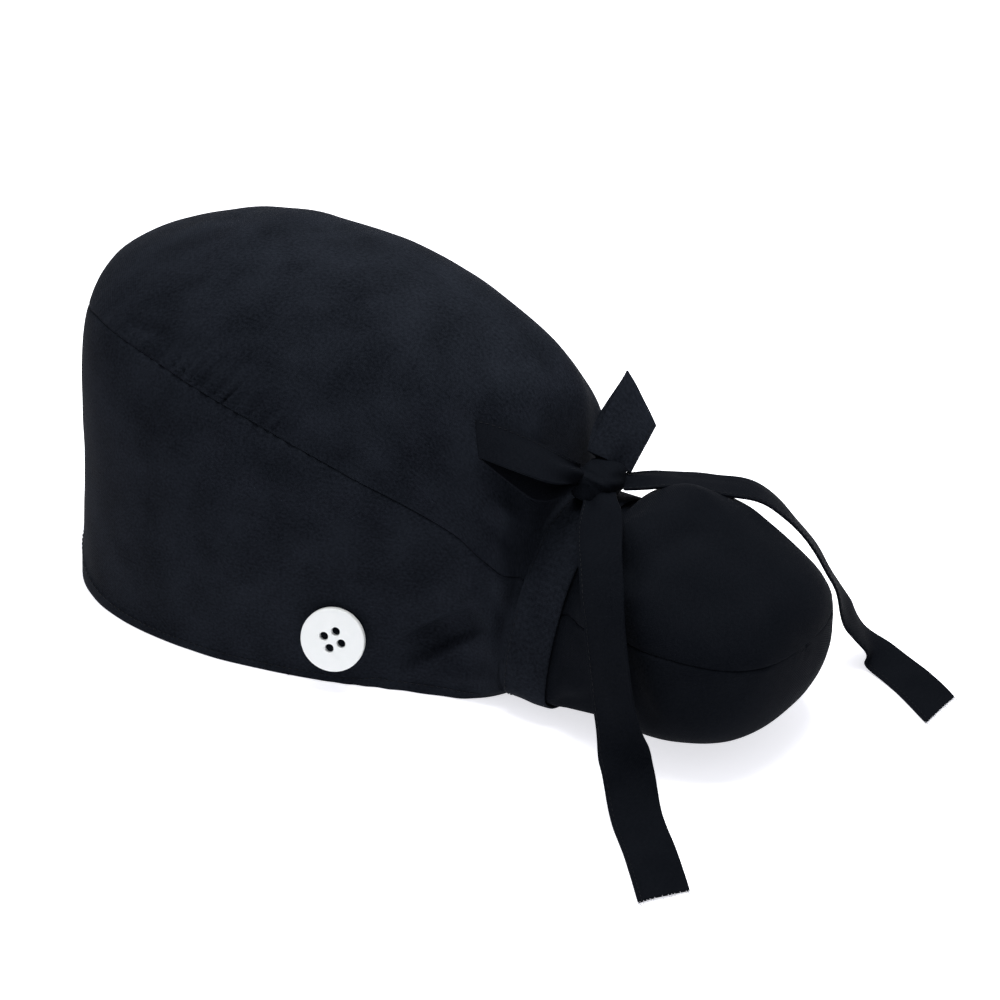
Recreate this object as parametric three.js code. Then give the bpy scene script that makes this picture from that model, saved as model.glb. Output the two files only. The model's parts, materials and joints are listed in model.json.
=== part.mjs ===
import * as THREE from "three";

// Scrub cap with a gathered ponytail pouch, standing on its rim. Millimetres, +Z up.
// The forehead faces -X, the pouch lies towards +X, and the wearer's left side is towards -Y.

// Cloth
const clothWall = 1.2;
const clearance = 0.3;

// Head part
const foreheadX = -103;
const headLength = 216;
const headWidth = 149;
const crownHeight = 154;
const frontHeight = 123;
const seamFrontHeight = 116;
const seamNeckHeight = 44;
const widestShare = 0.4;

// Neck under the strap
const neckHalfWidth = 42;
const neckHeight = 76;
const neckLean = 0.07;
const foreheadLean = 0.045;
const neckSquare = 1.6;
const neckMiddleShare = 0.2;
const strapWidth = 19;
const strapMargin = 2;

// Pouch
const pouchLength = 86.5;
const pouchWidth = 100;
const pouchHeight = 88;
const pouchSeamHeight = 47;
const pouchSeamBow = 7;
const pouchSway = 3;
const pouchTopDrop = 0.38;

// Bow
const knotLength = 19;
const knotWidth = 21;
const knotHeight = 14;
const knotSquare = 2.8;
const tieWidth = 19;
const tieWall = 1.2;
const tieRootShare = 0.5;
const loopSpread = 8;
const loopArch = 10;
const loopLift = 7;
const loopRootShare = 0.35;
const loopSteps = 26;
const loopTipSquare = 0.85;
const loopOpenSquare = 0.6;
const loopArchShare = 0.9;
const loopWidenShare = 0.6;
const leftLoopShare = 0.9;
const leftLoopAngle = 47;
const leftLoopSkew = 0.2;
const rightLoopSkew = -0.75;
const rightLoopLength = 36;
const leftLoopFace = new THREE.Vector3(0.5, -0.45, 0.74);
const rightLoopFace = new THREE.Vector3(0.5, -0.72, 0.47);
const rightLoopWay = new THREE.Vector3(0.01, 0.76, 0.65);
const leftRootShare = 0.4;
const rightRootShare = 0.75;
const tailSteps = 40;
const nearTailCut = 0.25;
const farTailCut = 0.65;
const nearTailStart = new THREE.Vector3(-0.2, -0.2, 1);
const farTailStart = new THREE.Vector3(0, 0.1, 1);

// Buttons
const buttonDiameter = 25;
const buttonThickness = 2.8;
const buttonHoleDiameter = 2.8;
const buttonHoleSpacing = 4.9;
const buttonBevel = 0.5;
const buttonTilt = 14;
const buttonTurn = 1.65;
const buttonHeight = 21;
const buttonShare = 0.7125;

// Mesh density: stations along the cap, and steps from the rim to the ridge
const noseStations = 9;
const rearStations = 11;
const neckStations = 3;
const bandSteps = 9;
const crownSteps = 13;
const pouchStations = 13;
const pouchUpperSteps = 13;
const pouchLowerSteps = 7;
const runSteps = 48;
const headCrowding = 1.25;
const pouchCrowding = 1.15;
const strapSteps = 56;
const knotSteps = 20;
const holeSteps = 14;
const rimChecks = 24;
const angleStep = 0.01;

// Crown ridge: at is the share of the head's length from the forehead back, rise is the share from the
// neck's height to the crown's height, and square is how boxy the cross-section is at the top
const ridgeRows = [
  { at: 0, rise: 0.59, square: 9 },
  { at: 0.02, rise: 0.65, square: 7.5 },
  { at: 0.06, rise: 0.73, square: 6 },
  { at: 0.14, rise: 0.83, square: 4.4 },
  { at: 0.26, rise: 0.94, square: 3.3 },
  { at: 0.4, rise: 1.0, square: 2.9 },
  { at: 0.55, rise: 1.0, square: 2.7 },
  { at: 0.7, rise: 0.94, square: 2.6 },
  { at: 0.83, rise: 0.81, square: 2.6 },
  { at: 0.92, rise: 0.67, square: 2.6 },
  { at: 0.97, rise: 0.5, square: 2.3 },
  { at: 1, rise: 0, square: neckSquare },
];

// Half-width behind the widest place: at runs from there to the neck, width is the share left over the neck's
const rearWidthRows = [
  { at: 0, width: 1 },
  { at: 0.12, width: 0.97 },
  { at: 0.3, width: 0.85 },
  { at: 0.5, width: 0.62 },
  { at: 0.7, width: 0.3 },
  { at: 0.85, width: 0.09 },
  { at: 1, width: 0 },
];

// Seam between crown and band: at is the share of the way from the forehead to the strap, and height the
// share from its height at the strap to its height at the temples
const seamRows = [
  { at: 0, height: 0.93 },
  { at: 0.12, height: 1 },
  { at: 0.25, height: 0.97 },
  { at: 0.45, height: 0.84 },
  { at: 0.65, height: 0.63 },
  { at: 0.83, height: 0.38 },
  { at: 0.93, height: 0.18 },
  { at: 1, height: 0 },
];

// Pouch: at is the share of its length, swell the share from the neck's size to the pouch's size
const pouchRows = [
  { at: 0, swell: 0 },
  { at: 0.1, swell: 0.42 },
  { at: 0.25, swell: 0.82 },
  { at: 0.45, swell: 1 },
  { at: 1, swell: 1 },
];
const pouchRoundFrom = 0.275;
const pouchTipRoom = 0.6;
const pouchDropFrom = 0.15;
const pouchDropOver = 0.7;

// Dents in the cloth: at is the share of the head's length, height the share of the neck's height, depth in
// millimetres, and long and tall are the shares of those two sizes that the dent covers
const dentRows = [
  { at: 0.86, height: 0.34, depth: 5, long: 0.09, tall: 0.26, side: -1 },
  { at: 0.86, height: 0.4, depth: 4, long: 0.09, tall: 0.26, side: 1 },
  { at: 0.93, height: 1.1, depth: 3, long: 0.05, tall: 0.25, side: -1 },
];

const neckFrontX = foreheadX + headLength;
const neckLength = strapWidth + 2 * strapMargin;
const neckX = neckFrontX + neckLength / 2;
const neckRearX = neckFrontX + neckLength;
const pouchEndX = neckRearX + pouchLength;
const widestX = foreheadX + headLength * widestShare;
const openingBackX = neckFrontX - clearance;
const neckBottom = clothWall + 2 * clearance;
const neckMiddle = neckBottom + (neckHeight - neckBottom) * neckMiddleShare;

// How boxy the outlines are: 2 is an ellipse, and more is squarer
const headOutlineSquare = 2.5;
const pouchOutlineSquare = 2.8;
const sideSquare = 2.3;
const bottomSquare = 3;

// Where the open rim rises to the closed neck, as shares of the head's length
const middleFromShare = 0.62;
const openFromShare = 0.86;
const openSquare = 3;
const leastBelow = 0.9999;

// Wall at a free edge: it keeps its slope only where the cloth is steeper than this
const steepest = 0.95;
const steepBlend = 0.3;

// Gathers beside the strap, in millimetres
const gatherDepth = 2.2;
const gatherReach = 7;
const gatherFolds = 11;
const gatherWander = 0.9;
const gatherFrontShare = 0.6;
const gatherRearReach = 1.4;
const gatherClearFrom = 3;
const gatherClearOver = 10;
const dentFade = 6;
const ridgeFade = 6;

// Tables and smooth values

function smooth(t) {
  const s = Math.min(1, Math.max(0, t));
  return s * s * (3 - 2 * s);
}

function mix(a, b, t) {
  return a + (b - a) * t;
}

function columnSlope(rows, key, i) {
  const step = (k) => (rows[k + 1][key] - rows[k][key]) / (rows[k + 1].at - rows[k].at);
  if (i === 0) return step(0);
  if (i === rows.length - 1) return step(i - 1);
  const before = step(i - 1);
  const after = step(i);
  return before * after <= 0 ? 0 : (2 * before * after) / (before + after);
}

// Reads one column of a table at a place between its rows, without overshoot.
function along(rows, key, at) {
  const place = Math.min(rows[rows.length - 1].at, Math.max(rows[0].at, at));
  let i = 0;
  while (i < rows.length - 2 && place > rows[i + 1].at) i++;
  const span = rows[i + 1].at - rows[i].at;
  const t = (place - rows[i].at) / span;
  const a = rows[i][key];
  const b = rows[i + 1][key];
  const ma = columnSlope(rows, key, i) * span;
  const mb = columnSlope(rows, key, i + 1) * span;
  return (
    a * (2 * t ** 3 - 3 * t ** 2 + 1) +
    ma * (t ** 3 - 2 * t ** 2 + t) +
    b * (3 * t ** 2 - 2 * t ** 3) +
    mb * (t ** 3 - t ** 2)
  );
}

// Cross-section of the cap at a place along it: half-width, ridge, middle and bottom heights.
function section(x) {
  if (x <= neckFrontX) {
    const headShare = (x - foreheadX) / headLength;
    const frontShare = Math.min(1, (widestX - x) / (widestX - foreheadX));
    const rearShare = (x - widestX) / (neckFrontX - widestX);
    const halfWidth =
      x < widestX
        ? (headWidth / 2) * (1 - frontShare ** headOutlineSquare) ** (1 / headOutlineSquare)
        : mix(neckHalfWidth, headWidth / 2, along(rearWidthRows, "width", rearShare));
    const rise = along(ridgeRows, "rise", headShare);
    const frontRise = ridgeRows[0].rise;
    const top =
      headShare < widestShare
        ? mix(frontHeight, crownHeight, (rise - frontRise) / (1 - frontRise))
        : mix(neckHeight, crownHeight, rise);
    const middle = neckMiddle * smooth((headShare - middleFromShare) / (1 - middleFromShare));
    const openFromX = mix(foreheadX, neckFrontX, openFromShare);
    const closed = Math.min(1, Math.max(0, (x - openFromX) / (openingBackX - openFromX)));
    const open = Math.min(leastBelow, (1 - closed ** openSquare) ** (1 / openSquare));
    const below = (1 - open ** sideSquare) ** (1 / bottomSquare);
    const settle = neckBottom * smooth((x - openingBackX) / (neckFrontX - openingBackX));
    return {
      halfWidth,
      top,
      middle,
      deep: middle / below - settle,
      square: along(ridgeRows, "square", headShare),
      lean: mix(foreheadLean, 0, smooth(2 * headShare)) + neckLean * smooth(2 * headShare - 1),
      sway: 0,
    };
  }
  if (x <= neckRearX) {
    return {
      halfWidth: neckHalfWidth,
      top: neckHeight,
      middle: neckMiddle,
      deep: neckMiddle - neckBottom,
      square: neckSquare,
      lean: neckLean,
      sway: 0,
    };
  }
  const share = Math.min(1, (x - neckRearX) / pouchLength);
  const swell = along(pouchRows, "swell", share);
  const endShare = Math.max(0, (share - pouchRoundFrom) / (1 - pouchRoundFrom));
  const round = Math.max(0, 1 - endShare ** pouchOutlineSquare) ** (1 / pouchOutlineSquare);
  const middle = mix(neckMiddle, pouchHeight / 2, swell);
  const sink = 1 - pouchTopDrop * smooth((share - pouchDropFrom) / pouchDropOver);
  return {
    halfWidth: mix(neckHalfWidth, pouchWidth / 2, swell) * round,
    top: middle + mix(neckHeight - neckMiddle, pouchHeight / 2, swell) * round * sink,
    middle,
    deep: mix(neckMiddle - neckBottom, pouchHeight / 2, swell) * round,
    square: mix(neckSquare, sideSquare, swell),
    lean: neckLean * (1 - smooth(share)),
    sway: -pouchSway * share,
  };
}

// Angle on a cross-section, from -90 degrees at its bottom to 90 at its ridge, at a height above the floor.
function angleAtHeight(s, z) {
  if (z >= s.middle) {
    const share = Math.min(1, (z - s.middle) / Math.max(1e-9, s.top - s.middle));
    return Math.asin(share ** (s.square / 2));
  }
  const share = Math.min(1, (s.middle - z) / Math.max(1e-9, s.deep));
  return -Math.asin(share ** (bottomSquare / 2));
}

function sectionPoint(s, angle) {
  const across = s.halfWidth * Math.max(0, Math.cos(angle)) ** (2 / sideSquare);
  const z =
    angle >= 0
      ? s.middle + (s.top - s.middle) * Math.sin(angle) ** (2 / s.square)
      : s.middle - s.deep * Math.abs(Math.sin(angle)) ** (2 / bottomSquare);
  return { across, z, angle };
}

// Radial depth of the gathers near the strap, and of the dents.
function relief(x, p, side) {
  const fromStrap = Math.abs(x - neckX) - neckLength / 2;
  if (fromStrap <= 0) return 0;
  const reach = x < neckX ? gatherReach : gatherRearReach * gatherReach;
  const depth = x < neckX ? gatherFrontShare * gatherDepth : gatherDepth;
  const fade = (fromStrap / reach) * Math.exp(1 - fromStrap / reach);
  const round = side < 0 ? p.angle : Math.PI - p.angle;
  const clear = smooth((p.z - gatherClearFrom) / gatherClearOver);
  const wave = Math.cos(gatherFolds * round + gatherWander * Math.sin(2 * round + 1));
  let offset = (depth * fade * clear * (wave - 1)) / 2;
  const share = (x - foreheadX) / headLength;
  for (const dent of dentRows) {
    if (side !== dent.side || x > neckX) continue;
    const far = ((share - dent.at) / dent.long) ** 2 + ((p.z / neckHeight - dent.height) / dent.tall) ** 2;
    offset -= dent.depth * smooth(fromStrap / dentFade) * Math.exp(-far);
  }
  return offset;
}

// Point on the cap's outer face, with side -1 on the wearer's left and 1 on the right.
function bodyPoint(x, s, p, side) {
  const offset = relief(x, p, side);
  const outward = new THREE.Vector2(
    p.across / Math.max(1, s.halfWidth),
    (p.z - s.middle) / Math.max(1, s.top - s.middle),
  );
  const size = Math.max(1e-6, outward.length());
  const centred = Math.min(1, p.across / ridgeFade);
  const across = Math.max(0, p.across + (offset * outward.x * centred) / size);
  const up = p.z + (offset * outward.y) / size;
  return new THREE.Vector3(x + s.lean * up, side * across + s.sway, Math.max(0, up));
}

// Evenly spaced points of one cross-section between two heights.
function sectionRun(x, low, high, steps, side) {
  const s = section(x);
  const bottom = s.middle - s.deep;
  const from = angleAtHeight(s, Math.max(low, bottom));
  const to = angleAtHeight(s, Math.min(high, s.top));
  const points = [];
  const lengths = [0];
  for (let i = 0; i <= runSteps; i++) {
    const p = sectionPoint(s, mix(from, to, i / runSteps));
    if (i) lengths.push(lengths[i - 1] + Math.hypot(p.across - points[i - 1].across, p.z - points[i - 1].z));
    points.push(p);
  }
  const run = [];
  let k = 0;
  for (let i = 0; i <= steps; i++) {
    const goal = (lengths[runSteps] * i) / steps;
    while (k < runSteps - 1 && lengths[k + 1] < goal) k++;
    const t = (goal - lengths[k]) / Math.max(1e-9, lengths[k + 1] - lengths[k]);
    const angle = mix(points[k].angle, points[k + 1].angle, Math.min(1, Math.max(0, t)));
    run.push(bodyPoint(x, s, sectionPoint(s, angle), side));
  }
  return run;
}

// Open surface from rows of points; places that coincide become one vertex.
class Surface {
  constructor() {
    this.points = [];
    this.faces = [];
    this.known = new Map();
  }
  vertex(p) {
    const key = [p.x, p.y, p.z].map((v) => Math.round(v * 1000)).join(" ");
    if (!this.known.has(key)) {
      this.known.set(key, this.points.length);
      this.points.push(p.clone());
    }
    return this.known.get(key);
  }
  face(a, b, c) {
    if (a !== b && b !== c && c !== a) this.faces.push([a, b, c]);
  }
  grid(rows, flip) {
    const ids = rows.map((row) => row.map((p) => this.vertex(p)));
    for (let i = 0; i + 1 < ids.length; i++) {
      for (let j = 0; j + 1 < ids[i].length; j++) {
        const [a, b, c, d] = [ids[i][j], ids[i + 1][j], ids[i + 1][j + 1], ids[i][j + 1]];
        if (flip) {
          this.face(a, c, b);
          this.face(a, d, c);
        } else {
          this.face(a, b, c);
          this.face(a, c, d);
        }
      }
    }
  }
}

function geometryOf(points, faces) {
  const geometry = new THREE.BufferGeometry();
  const numbers = points.flatMap((p) => [p.x, p.y, p.z]);
  geometry.setAttribute("position", new THREE.Float32BufferAttribute(numbers, 3));
  geometry.setIndex(faces.flat());
  geometry.computeVertexNormals();
  return geometry;
}

// Gives an open surface a cloth wall on its inner side, closed along its free edges. The wall goes straight
// in at those edges, so that two panels keep their gap along a seam and the rim stays flat.
function thicken(surface, wall) {
  const { points, faces } = surface;
  const count = points.length;
  const normals = points.map(() => new THREE.Vector3());
  for (const [a, b, c] of faces) {
    const ab = points[b].clone().sub(points[a]);
    const normal = ab.cross(points[c].clone().sub(points[a]));
    for (const id of [a, b, c]) normals[id].add(normal);
  }
  const edges = new Set(faces.flatMap(([a, b, c]) => [`${a} ${b}`, `${b} ${c}`, `${c} ${a}`]));
  const free = [...edges]
    .map((edge) => edge.split(" ").map(Number))
    .filter(([a, b]) => !edges.has(`${b} ${a}`));
  const onEdge = new Set(free.flat());
  const inner = points.map((p, i) => {
    const normal = normals[i].normalize();
    if (onEdge.has(i)) {
      normal.z *= 1 - smooth((steepest - Math.abs(normal.z)) / steepBlend);
      normal.normalize();
    }
    return p.clone().addScaledVector(normal, -wall);
  });
  const all = [...faces, ...faces.map(([a, b, c]) => [a + count, c + count, b + count])];
  for (const [a, b] of free) all.push([a, a + count, b + count], [a, b + count, b]);
  return geometryOf([...points, ...inner], all);
}

// Places along the cap where cross-sections are taken
const headPlaces = [];
for (let i = 0; i <= noseStations; i++) {
  headPlaces.push(widestX - (widestX - foreheadX) * Math.cos((i / noseStations) * (Math.PI / 2)));
}
for (let i = 1; i <= rearStations; i++) {
  headPlaces.push(mix(widestX, openingBackX, 1 - (1 - i / rearStations) ** headCrowding));
}
for (let i = 0; i <= neckStations; i++) {
  headPlaces.push(mix(neckFrontX, neckX - clearance / 2, i / neckStations));
}

const pouchPlaces = [neckX + clearance / 2, neckRearX];
for (let i = 1; i <= pouchStations; i++) {
  const share = Math.sin((i / pouchStations) * (Math.PI / 2)) ** pouchCrowding;
  pouchPlaces.push(neckRearX + pouchLength * share);
}

function seamHeight(x) {
  if (x <= neckX) {
    const share = (x - foreheadX) / (neckX - foreheadX);
    return mix(seamNeckHeight, seamFrontHeight, along(seamRows, "height", share));
  }
  const share = (x - neckX) / (pouchEndX - neckX);
  return mix(seamNeckHeight, pouchSeamHeight, share) + pouchSeamBow * Math.sin(Math.PI * share);
}

function topOf(x) {
  return section(x).top;
}

// Rows of a panel across the cap, from a low edge on the left over to the low edge on the right.
function panelRows(places, low, high, steps) {
  const rows = { left: [], right: [] };
  for (const x of places) {
    rows.left.push(sectionRun(x, low(x), high(x), steps, -1));
    rows.right.push(sectionRun(x, low(x), high(x), steps, 1));
  }
  const surface = new Surface();
  surface.grid(rows.left, false);
  surface.grid(rows.right, true);
  return surface;
}

function crownPanel() {
  return thicken(
    panelRows(headPlaces, (x) => seamHeight(x) + clearance / 2, topOf, crownSteps),
    clothWall,
  );
}

function sideBand() {
  return thicken(
    panelRows(headPlaces, () => 0, (x) => seamHeight(x) - clearance / 2, bandSteps),
    clothWall,
  );
}

function bottomOf(x) {
  const s = section(x);
  return s.middle - s.deep;
}

// First place on the pouch where something no longer holds, or the pouch's end
function crossing(holds) {
  if (holds(pouchEndX)) return pouchEndX;
  let near = neckRearX;
  let far = pouchEndX;
  for (let i = 0; i < 40; i++) {
    const x = (near + far) / 2;
    if (holds(x)) near = x;
    else far = x;
  }
  return far;
}

// Stations of a pouch panel with the given seam edge: up to the place where it runs out at the ridge or at
// the bottom, with a station where its left and right edges join.
function pouchPanelPlaces(edge, isUpper) {
  const ridge = crossing((x) => topOf(x) > edge(x));
  const keel = crossing((x) => bottomOf(x) < edge(x));
  const end = isUpper ? ridge : keel;
  const join = isUpper ? keel : ridge;
  const clearOf = (x, place) => Math.abs(x - place) > pouchTipRoom;
  const places = pouchPlaces.filter((x) => x < end - pouchTipRoom && clearOf(x, join));
  if (join < end) places.push(join);
  places.push(end);
  return places.sort((a, b) => a - b);
}

function pouchUpper() {
  const edge = (x) => seamHeight(x) + clearance / 2;
  return thicken(panelRows(pouchPanelPlaces(edge, true), edge, topOf, pouchUpperSteps), clothWall);
}

function pouchLower() {
  const edge = (x) => seamHeight(x) - clearance / 2;
  return thicken(panelRows(pouchPanelPlaces(edge, false), () => 0, edge, pouchLowerSteps), clothWall);
}

// Loop of points round the neck at a distance outside the cloth
function neckLoop(x, distance) {
  const s = section(x);
  const loop = [];
  const half = strapSteps / 2;
  for (let i = 0; i < strapSteps; i++) {
    const side = i <= half ? -1 : 1;
    const angle = Math.PI * (0.5 - Math.abs(i / half - 1));
    const p = sectionPoint(s, angle);
    const before = sectionPoint(s, Math.max(-Math.PI / 2, angle - angleStep));
    const after = sectionPoint(s, Math.min(Math.PI / 2, angle + angleStep));
    const run = new THREE.Vector2(after.across - before.across, after.z - before.z).normalize();
    const up = p.z - distance * run.x;
    loop.push(new THREE.Vector3(x + s.lean * up, side * (p.across + distance * run.y) + s.sway, up));
  }
  return loop;
}

function neckStrap() {
  const front = neckX - strapWidth / 2;
  const rear = neckX + strapWidth / 2;
  const loops = [
    neckLoop(front, clearance),
    neckLoop(front, clearance + clothWall),
    neckLoop(neckX, clearance + clothWall),
    neckLoop(rear, clearance + clothWall),
    neckLoop(rear, clearance),
    neckLoop(neckX, clearance),
  ];
  return tubeOf(loops.reverse(), true);
}

// Skin over loops of points; ring closes the last loop on to the first, otherwise the ends get caps.
function tubeOf(loops, ring) {
  const count = loops[0].length;
  const faces = [];
  const spans = ring ? loops.length : loops.length - 1;
  for (let i = 0; i < spans; i++) {
    for (let j = 0; j < count; j++) {
      const a = i * count + j;
      const b = i * count + ((j + 1) % count);
      const c = ((i + 1) % loops.length) * count + ((j + 1) % count);
      const d = ((i + 1) % loops.length) * count + j;
      faces.push([a, b, c], [a, c, d]);
    }
  }
  if (!ring) {
    const last = (loops.length - 1) * count;
    for (let j = 1; j + 1 < count; j++) faces.push([0, j + 1, j], [last, last + j, last + j + 1]);
  }
  return geometryOf(loops.flat(), faces);
}

// Flat strip of cloth along a path. Each stop has its point, the way its face looks, and its width.
function strip(stops, wall) {
  const loops = stops.map((stop, i) => {
    const before = stops[Math.max(0, i - 1)].point;
    const after = stops[Math.min(stops.length - 1, i + 1)].point;
    const run = after.clone().sub(before).normalize();
    const across = run.clone().cross(stop.face).normalize();
    const out = across.clone().cross(run).normalize();
    const corner = (a, b) => {
      const point = stop.point.clone();
      point.addScaledVector(across, (a * stop.width) / 2).addScaledVector(out, (b * wall) / 2);
      if (stop.shift) point.addScaledVector(stop.shift, (a * stop.width) / 2);
      point.z = Math.max(0, point.z);
      return point;
    };
    return [corner(-1, -1), corner(-1, 1), corner(1, 1), corner(1, -1)];
  });
  return tubeOf(loops, false);
}

// Stops along a smooth curve through a few rows, with face and width carried smoothly between them.
function stopsThrough(rows, steps) {
  const curve = new THREE.CatmullRomCurve3(rows.map((row) => row.point), false, "centripetal");
  const stops = [];
  for (let i = 0; i <= steps; i++) {
    const t = i / steps;
    const place = t * (rows.length - 1);
    const k = Math.min(rows.length - 2, Math.floor(place));
    const f = smooth(place - k);
    stops.push({
      point: curve.getPoint(t),
      face: rows[k].face.clone().lerp(rows[k + 1].face, f).normalize(),
      width: mix(rows[k].width, rows[k + 1].width, f),
    });
  }
  return stops;
}

// Knot, on top of the strap
const strapTop = neckHeight + clearance + clothWall;
const knotCentre = new THREE.Vector3(
  neckX + neckLean * strapTop,
  0,
  strapTop + clearance + knotHeight / 2,
);

function knot() {
  const geometry = new THREE.SphereGeometry(1, knotSteps, knotSteps / 2);
  const position = geometry.getAttribute("position");
  const boxy = (v) => Math.sign(v) * Math.abs(v) ** (2 / knotSquare);
  for (let i = 0; i < position.count; i++) {
    const [x, y, z] = [position.getX(i), position.getY(i), position.getZ(i)];
    position.setXYZ(i, boxy(x), boxy(y), boxy(z));
  }
  geometry.scale(knotLength / 2, knotWidth / 2, knotHeight / 2);
  geometry.computeVertexNormals();
  return geometry;
}

// Where cloth leaves the knot in a direction: just outside the knot's tangent plane there.
function knotExit(direction) {
  const power = knotSquare / (knotSquare - 1);
  const reach =
    (Math.abs((direction.x * knotLength) / 2) ** power +
      Math.abs((direction.y * knotWidth) / 2) ** power +
      Math.abs((direction.z * knotHeight) / 2) ** power) **
    (1 / power);
  return knotCentre.clone().addScaledVector(direction, reach + clearance);
}

// Outer point of the cap at a station and an angle, with its outward direction.
function clothSpot(x, angle, side) {
  const at = (a, b) => {
    const s = section(x + a);
    return bodyPoint(x + a, s, sectionPoint(s, angle + b), side);
  };
  const length = at(1, 0).sub(at(-1, 0));
  const round = at(0, angleStep).sub(at(0, -angleStep));
  const normal = length.cross(round).normalize().multiplyScalar(side < 0 ? 1 : -1);
  return { point: at(0, 0), normal };
}

// Bow loop: a folded strip that leaves the knot, turns at its tip and comes back, arched clear of the cap.
function bowLoop({ tip, face, arch, skew, rootShare }) {
  const towards = tip.clone().sub(knotCentre).normalize();
  const from = knotExit(towards);
  const length = tip.distanceTo(from);
  const out = face.clone().addScaledVector(towards, -face.dot(towards)).normalize();
  const stops = [];
  for (let i = 0; i <= loopSteps; i++) {
    const turn = (Math.PI * i) / loopSteps;
    const height = Math.max(0, Math.sin(turn));
    const reach = height ** loopTipSquare;
    const open = (loopSpread / 2) * Math.cos(turn) * mix(loopRootShare, 1, height ** loopOpenSquare);
    stops.push({
      point: from
        .clone()
        .addScaledVector(towards, length * reach)
        .addScaledVector(out, open + arch * Math.sin(Math.PI * reach * loopArchShare)),
      face: out.clone().multiplyScalar(Math.cos(turn)).addScaledVector(towards, Math.sin(turn)),
      width: tieWidth * mix(rootShare, 1, smooth(reach / loopWidenShare)),
      shift: towards.clone().multiplyScalar(skew * reach ** 2),
    });
  }
  return strip(stops, tieWall);
}

// Free end of a tie, from the knot over the pouch and down to the surface that the cap rests on
function tieTail(rows, start, cut) {
  const stops = rows.map((row) => ({
    point: new THREE.Vector3(
      mix(knotCentre.x, pouchEndX, row.along),
      (row.across * pouchWidth) / 2,
      row.up * pouchHeight + tieWall / 2,
    ),
    face: new THREE.Vector3(row.faceX, row.faceY, row.faceZ).normalize(),
    width: tieWidth * row.width,
  }));
  const towards = stops[0].point.clone().sub(knotCentre).normalize();
  stops.unshift({ point: knotExit(towards), face: start, width: tieWidth * tieRootShare });
  const path = stopsThrough(stops, tailSteps);
  const last = path[path.length - 1];
  last.shift = last.point.clone().sub(path[path.length - 2].point).normalize().multiplyScalar(cut);
  return strip(path, tieWall);
}

// Four-hole button, lying on the side band and tipped up a little on its thread
function button(side) {
  const holeRadius = (buttonHoleDiameter + buttonBevel) / 2;
  const disc = new THREE.Shape();
  disc.absarc(0, 0, buttonDiameter / 2 - buttonBevel, 0, 2 * Math.PI, false);
  for (let k = 0; k < 4; k++) {
    const turn = buttonTurn + (k * Math.PI) / 2;
    const out = buttonHoleSpacing / Math.SQRT2;
    const hole = new THREE.Path();
    hole.absarc(out * Math.cos(turn), out * Math.sin(turn), holeRadius, 0, 2 * Math.PI, true);
    disc.holes.push(hole);
  }
  const geometry = new THREE.ExtrudeGeometry(disc, {
    depth: buttonThickness - 2 * buttonBevel,
    bevelThickness: buttonBevel,
    bevelSize: buttonBevel,
    bevelSegments: 1,
    curveSegments: holeSteps,
  });
  geometry.translate(0, 0, buttonBevel);
  const x = mix(foreheadX, neckFrontX, buttonShare);
  const spot = clothSpot(x, angleAtHeight(section(x), buttonHeight), side);
  const tilt = THREE.MathUtils.degToRad(buttonTilt);
  const level = new THREE.Vector3(spot.normal.x, spot.normal.y, 0).normalize();
  const normal = level.multiplyScalar(Math.cos(tilt)).add(new THREE.Vector3(0, 0, Math.sin(tilt)));
  const turned = new THREE.Quaternion().setFromUnitVectors(new THREE.Vector3(0, 0, 1), normal);
  let lift = 0;
  for (let k = 0; k <= rimChecks; k++) {
    const turn = (2 * Math.PI * k) / rimChecks;
    const radius = k < rimChecks ? buttonDiameter / 2 : 0;
    const rim = new THREE.Vector3(radius * Math.cos(turn), radius * Math.sin(turn), 0)
      .applyQuaternion(turned)
      .add(spot.point);
    const s = section(rim.x);
    const cloth = sectionPoint(s, angleAtHeight(s, rim.z)).across;
    lift = Math.max(lift, (cloth - Math.abs(rim.y)) / Math.abs(normal.y));
  }
  const place = spot.point.clone().addScaledVector(normal, lift + clearance);
  return { geometry, place, turned };
}

// Ends of the ties: along runs from the knot to the pouch's end, across is the share of the pouch's half
// width, up the share of its height, width the share of the tie's width, and the rest is the way it faces
const nearTailRows = [
  { along: 0.178, across: -0.492, up: 0.91, width: 1, faceX: -0.4, faceY: -0.3, faceZ: 0.85 },
  { along: 0.346, across: -0.931, up: 0.81, width: 1, faceX: -0.25, faceY: -0.75, faceZ: 0.6 },
  { along: 0.462, across: -1.166, up: 0.57, width: 1, faceX: -0.15, faceY: -1, faceZ: 0.15 },
  { along: 0.523, across: -1.22, up: 0.33, width: 1, faceX: -0.1, faceY: -1, faceZ: 0.25 },
  { along: 0.61, across: -1.295, up: 0.12, width: 1, faceX: 0, faceY: -0.1, faceZ: 1 },
  { along: 0.711, across: -1.477, up: 0.015, width: 1, faceX: 0, faceY: 0, faceZ: 1 },
  { along: 0.894, across: -1.808, up: 0, width: 1, faceX: 0, faceY: 0, faceZ: 1 },
  { along: 1.082, across: -2.183, up: 0, width: 1, faceX: 0, faceY: 0, faceZ: 1 },
];
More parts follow.
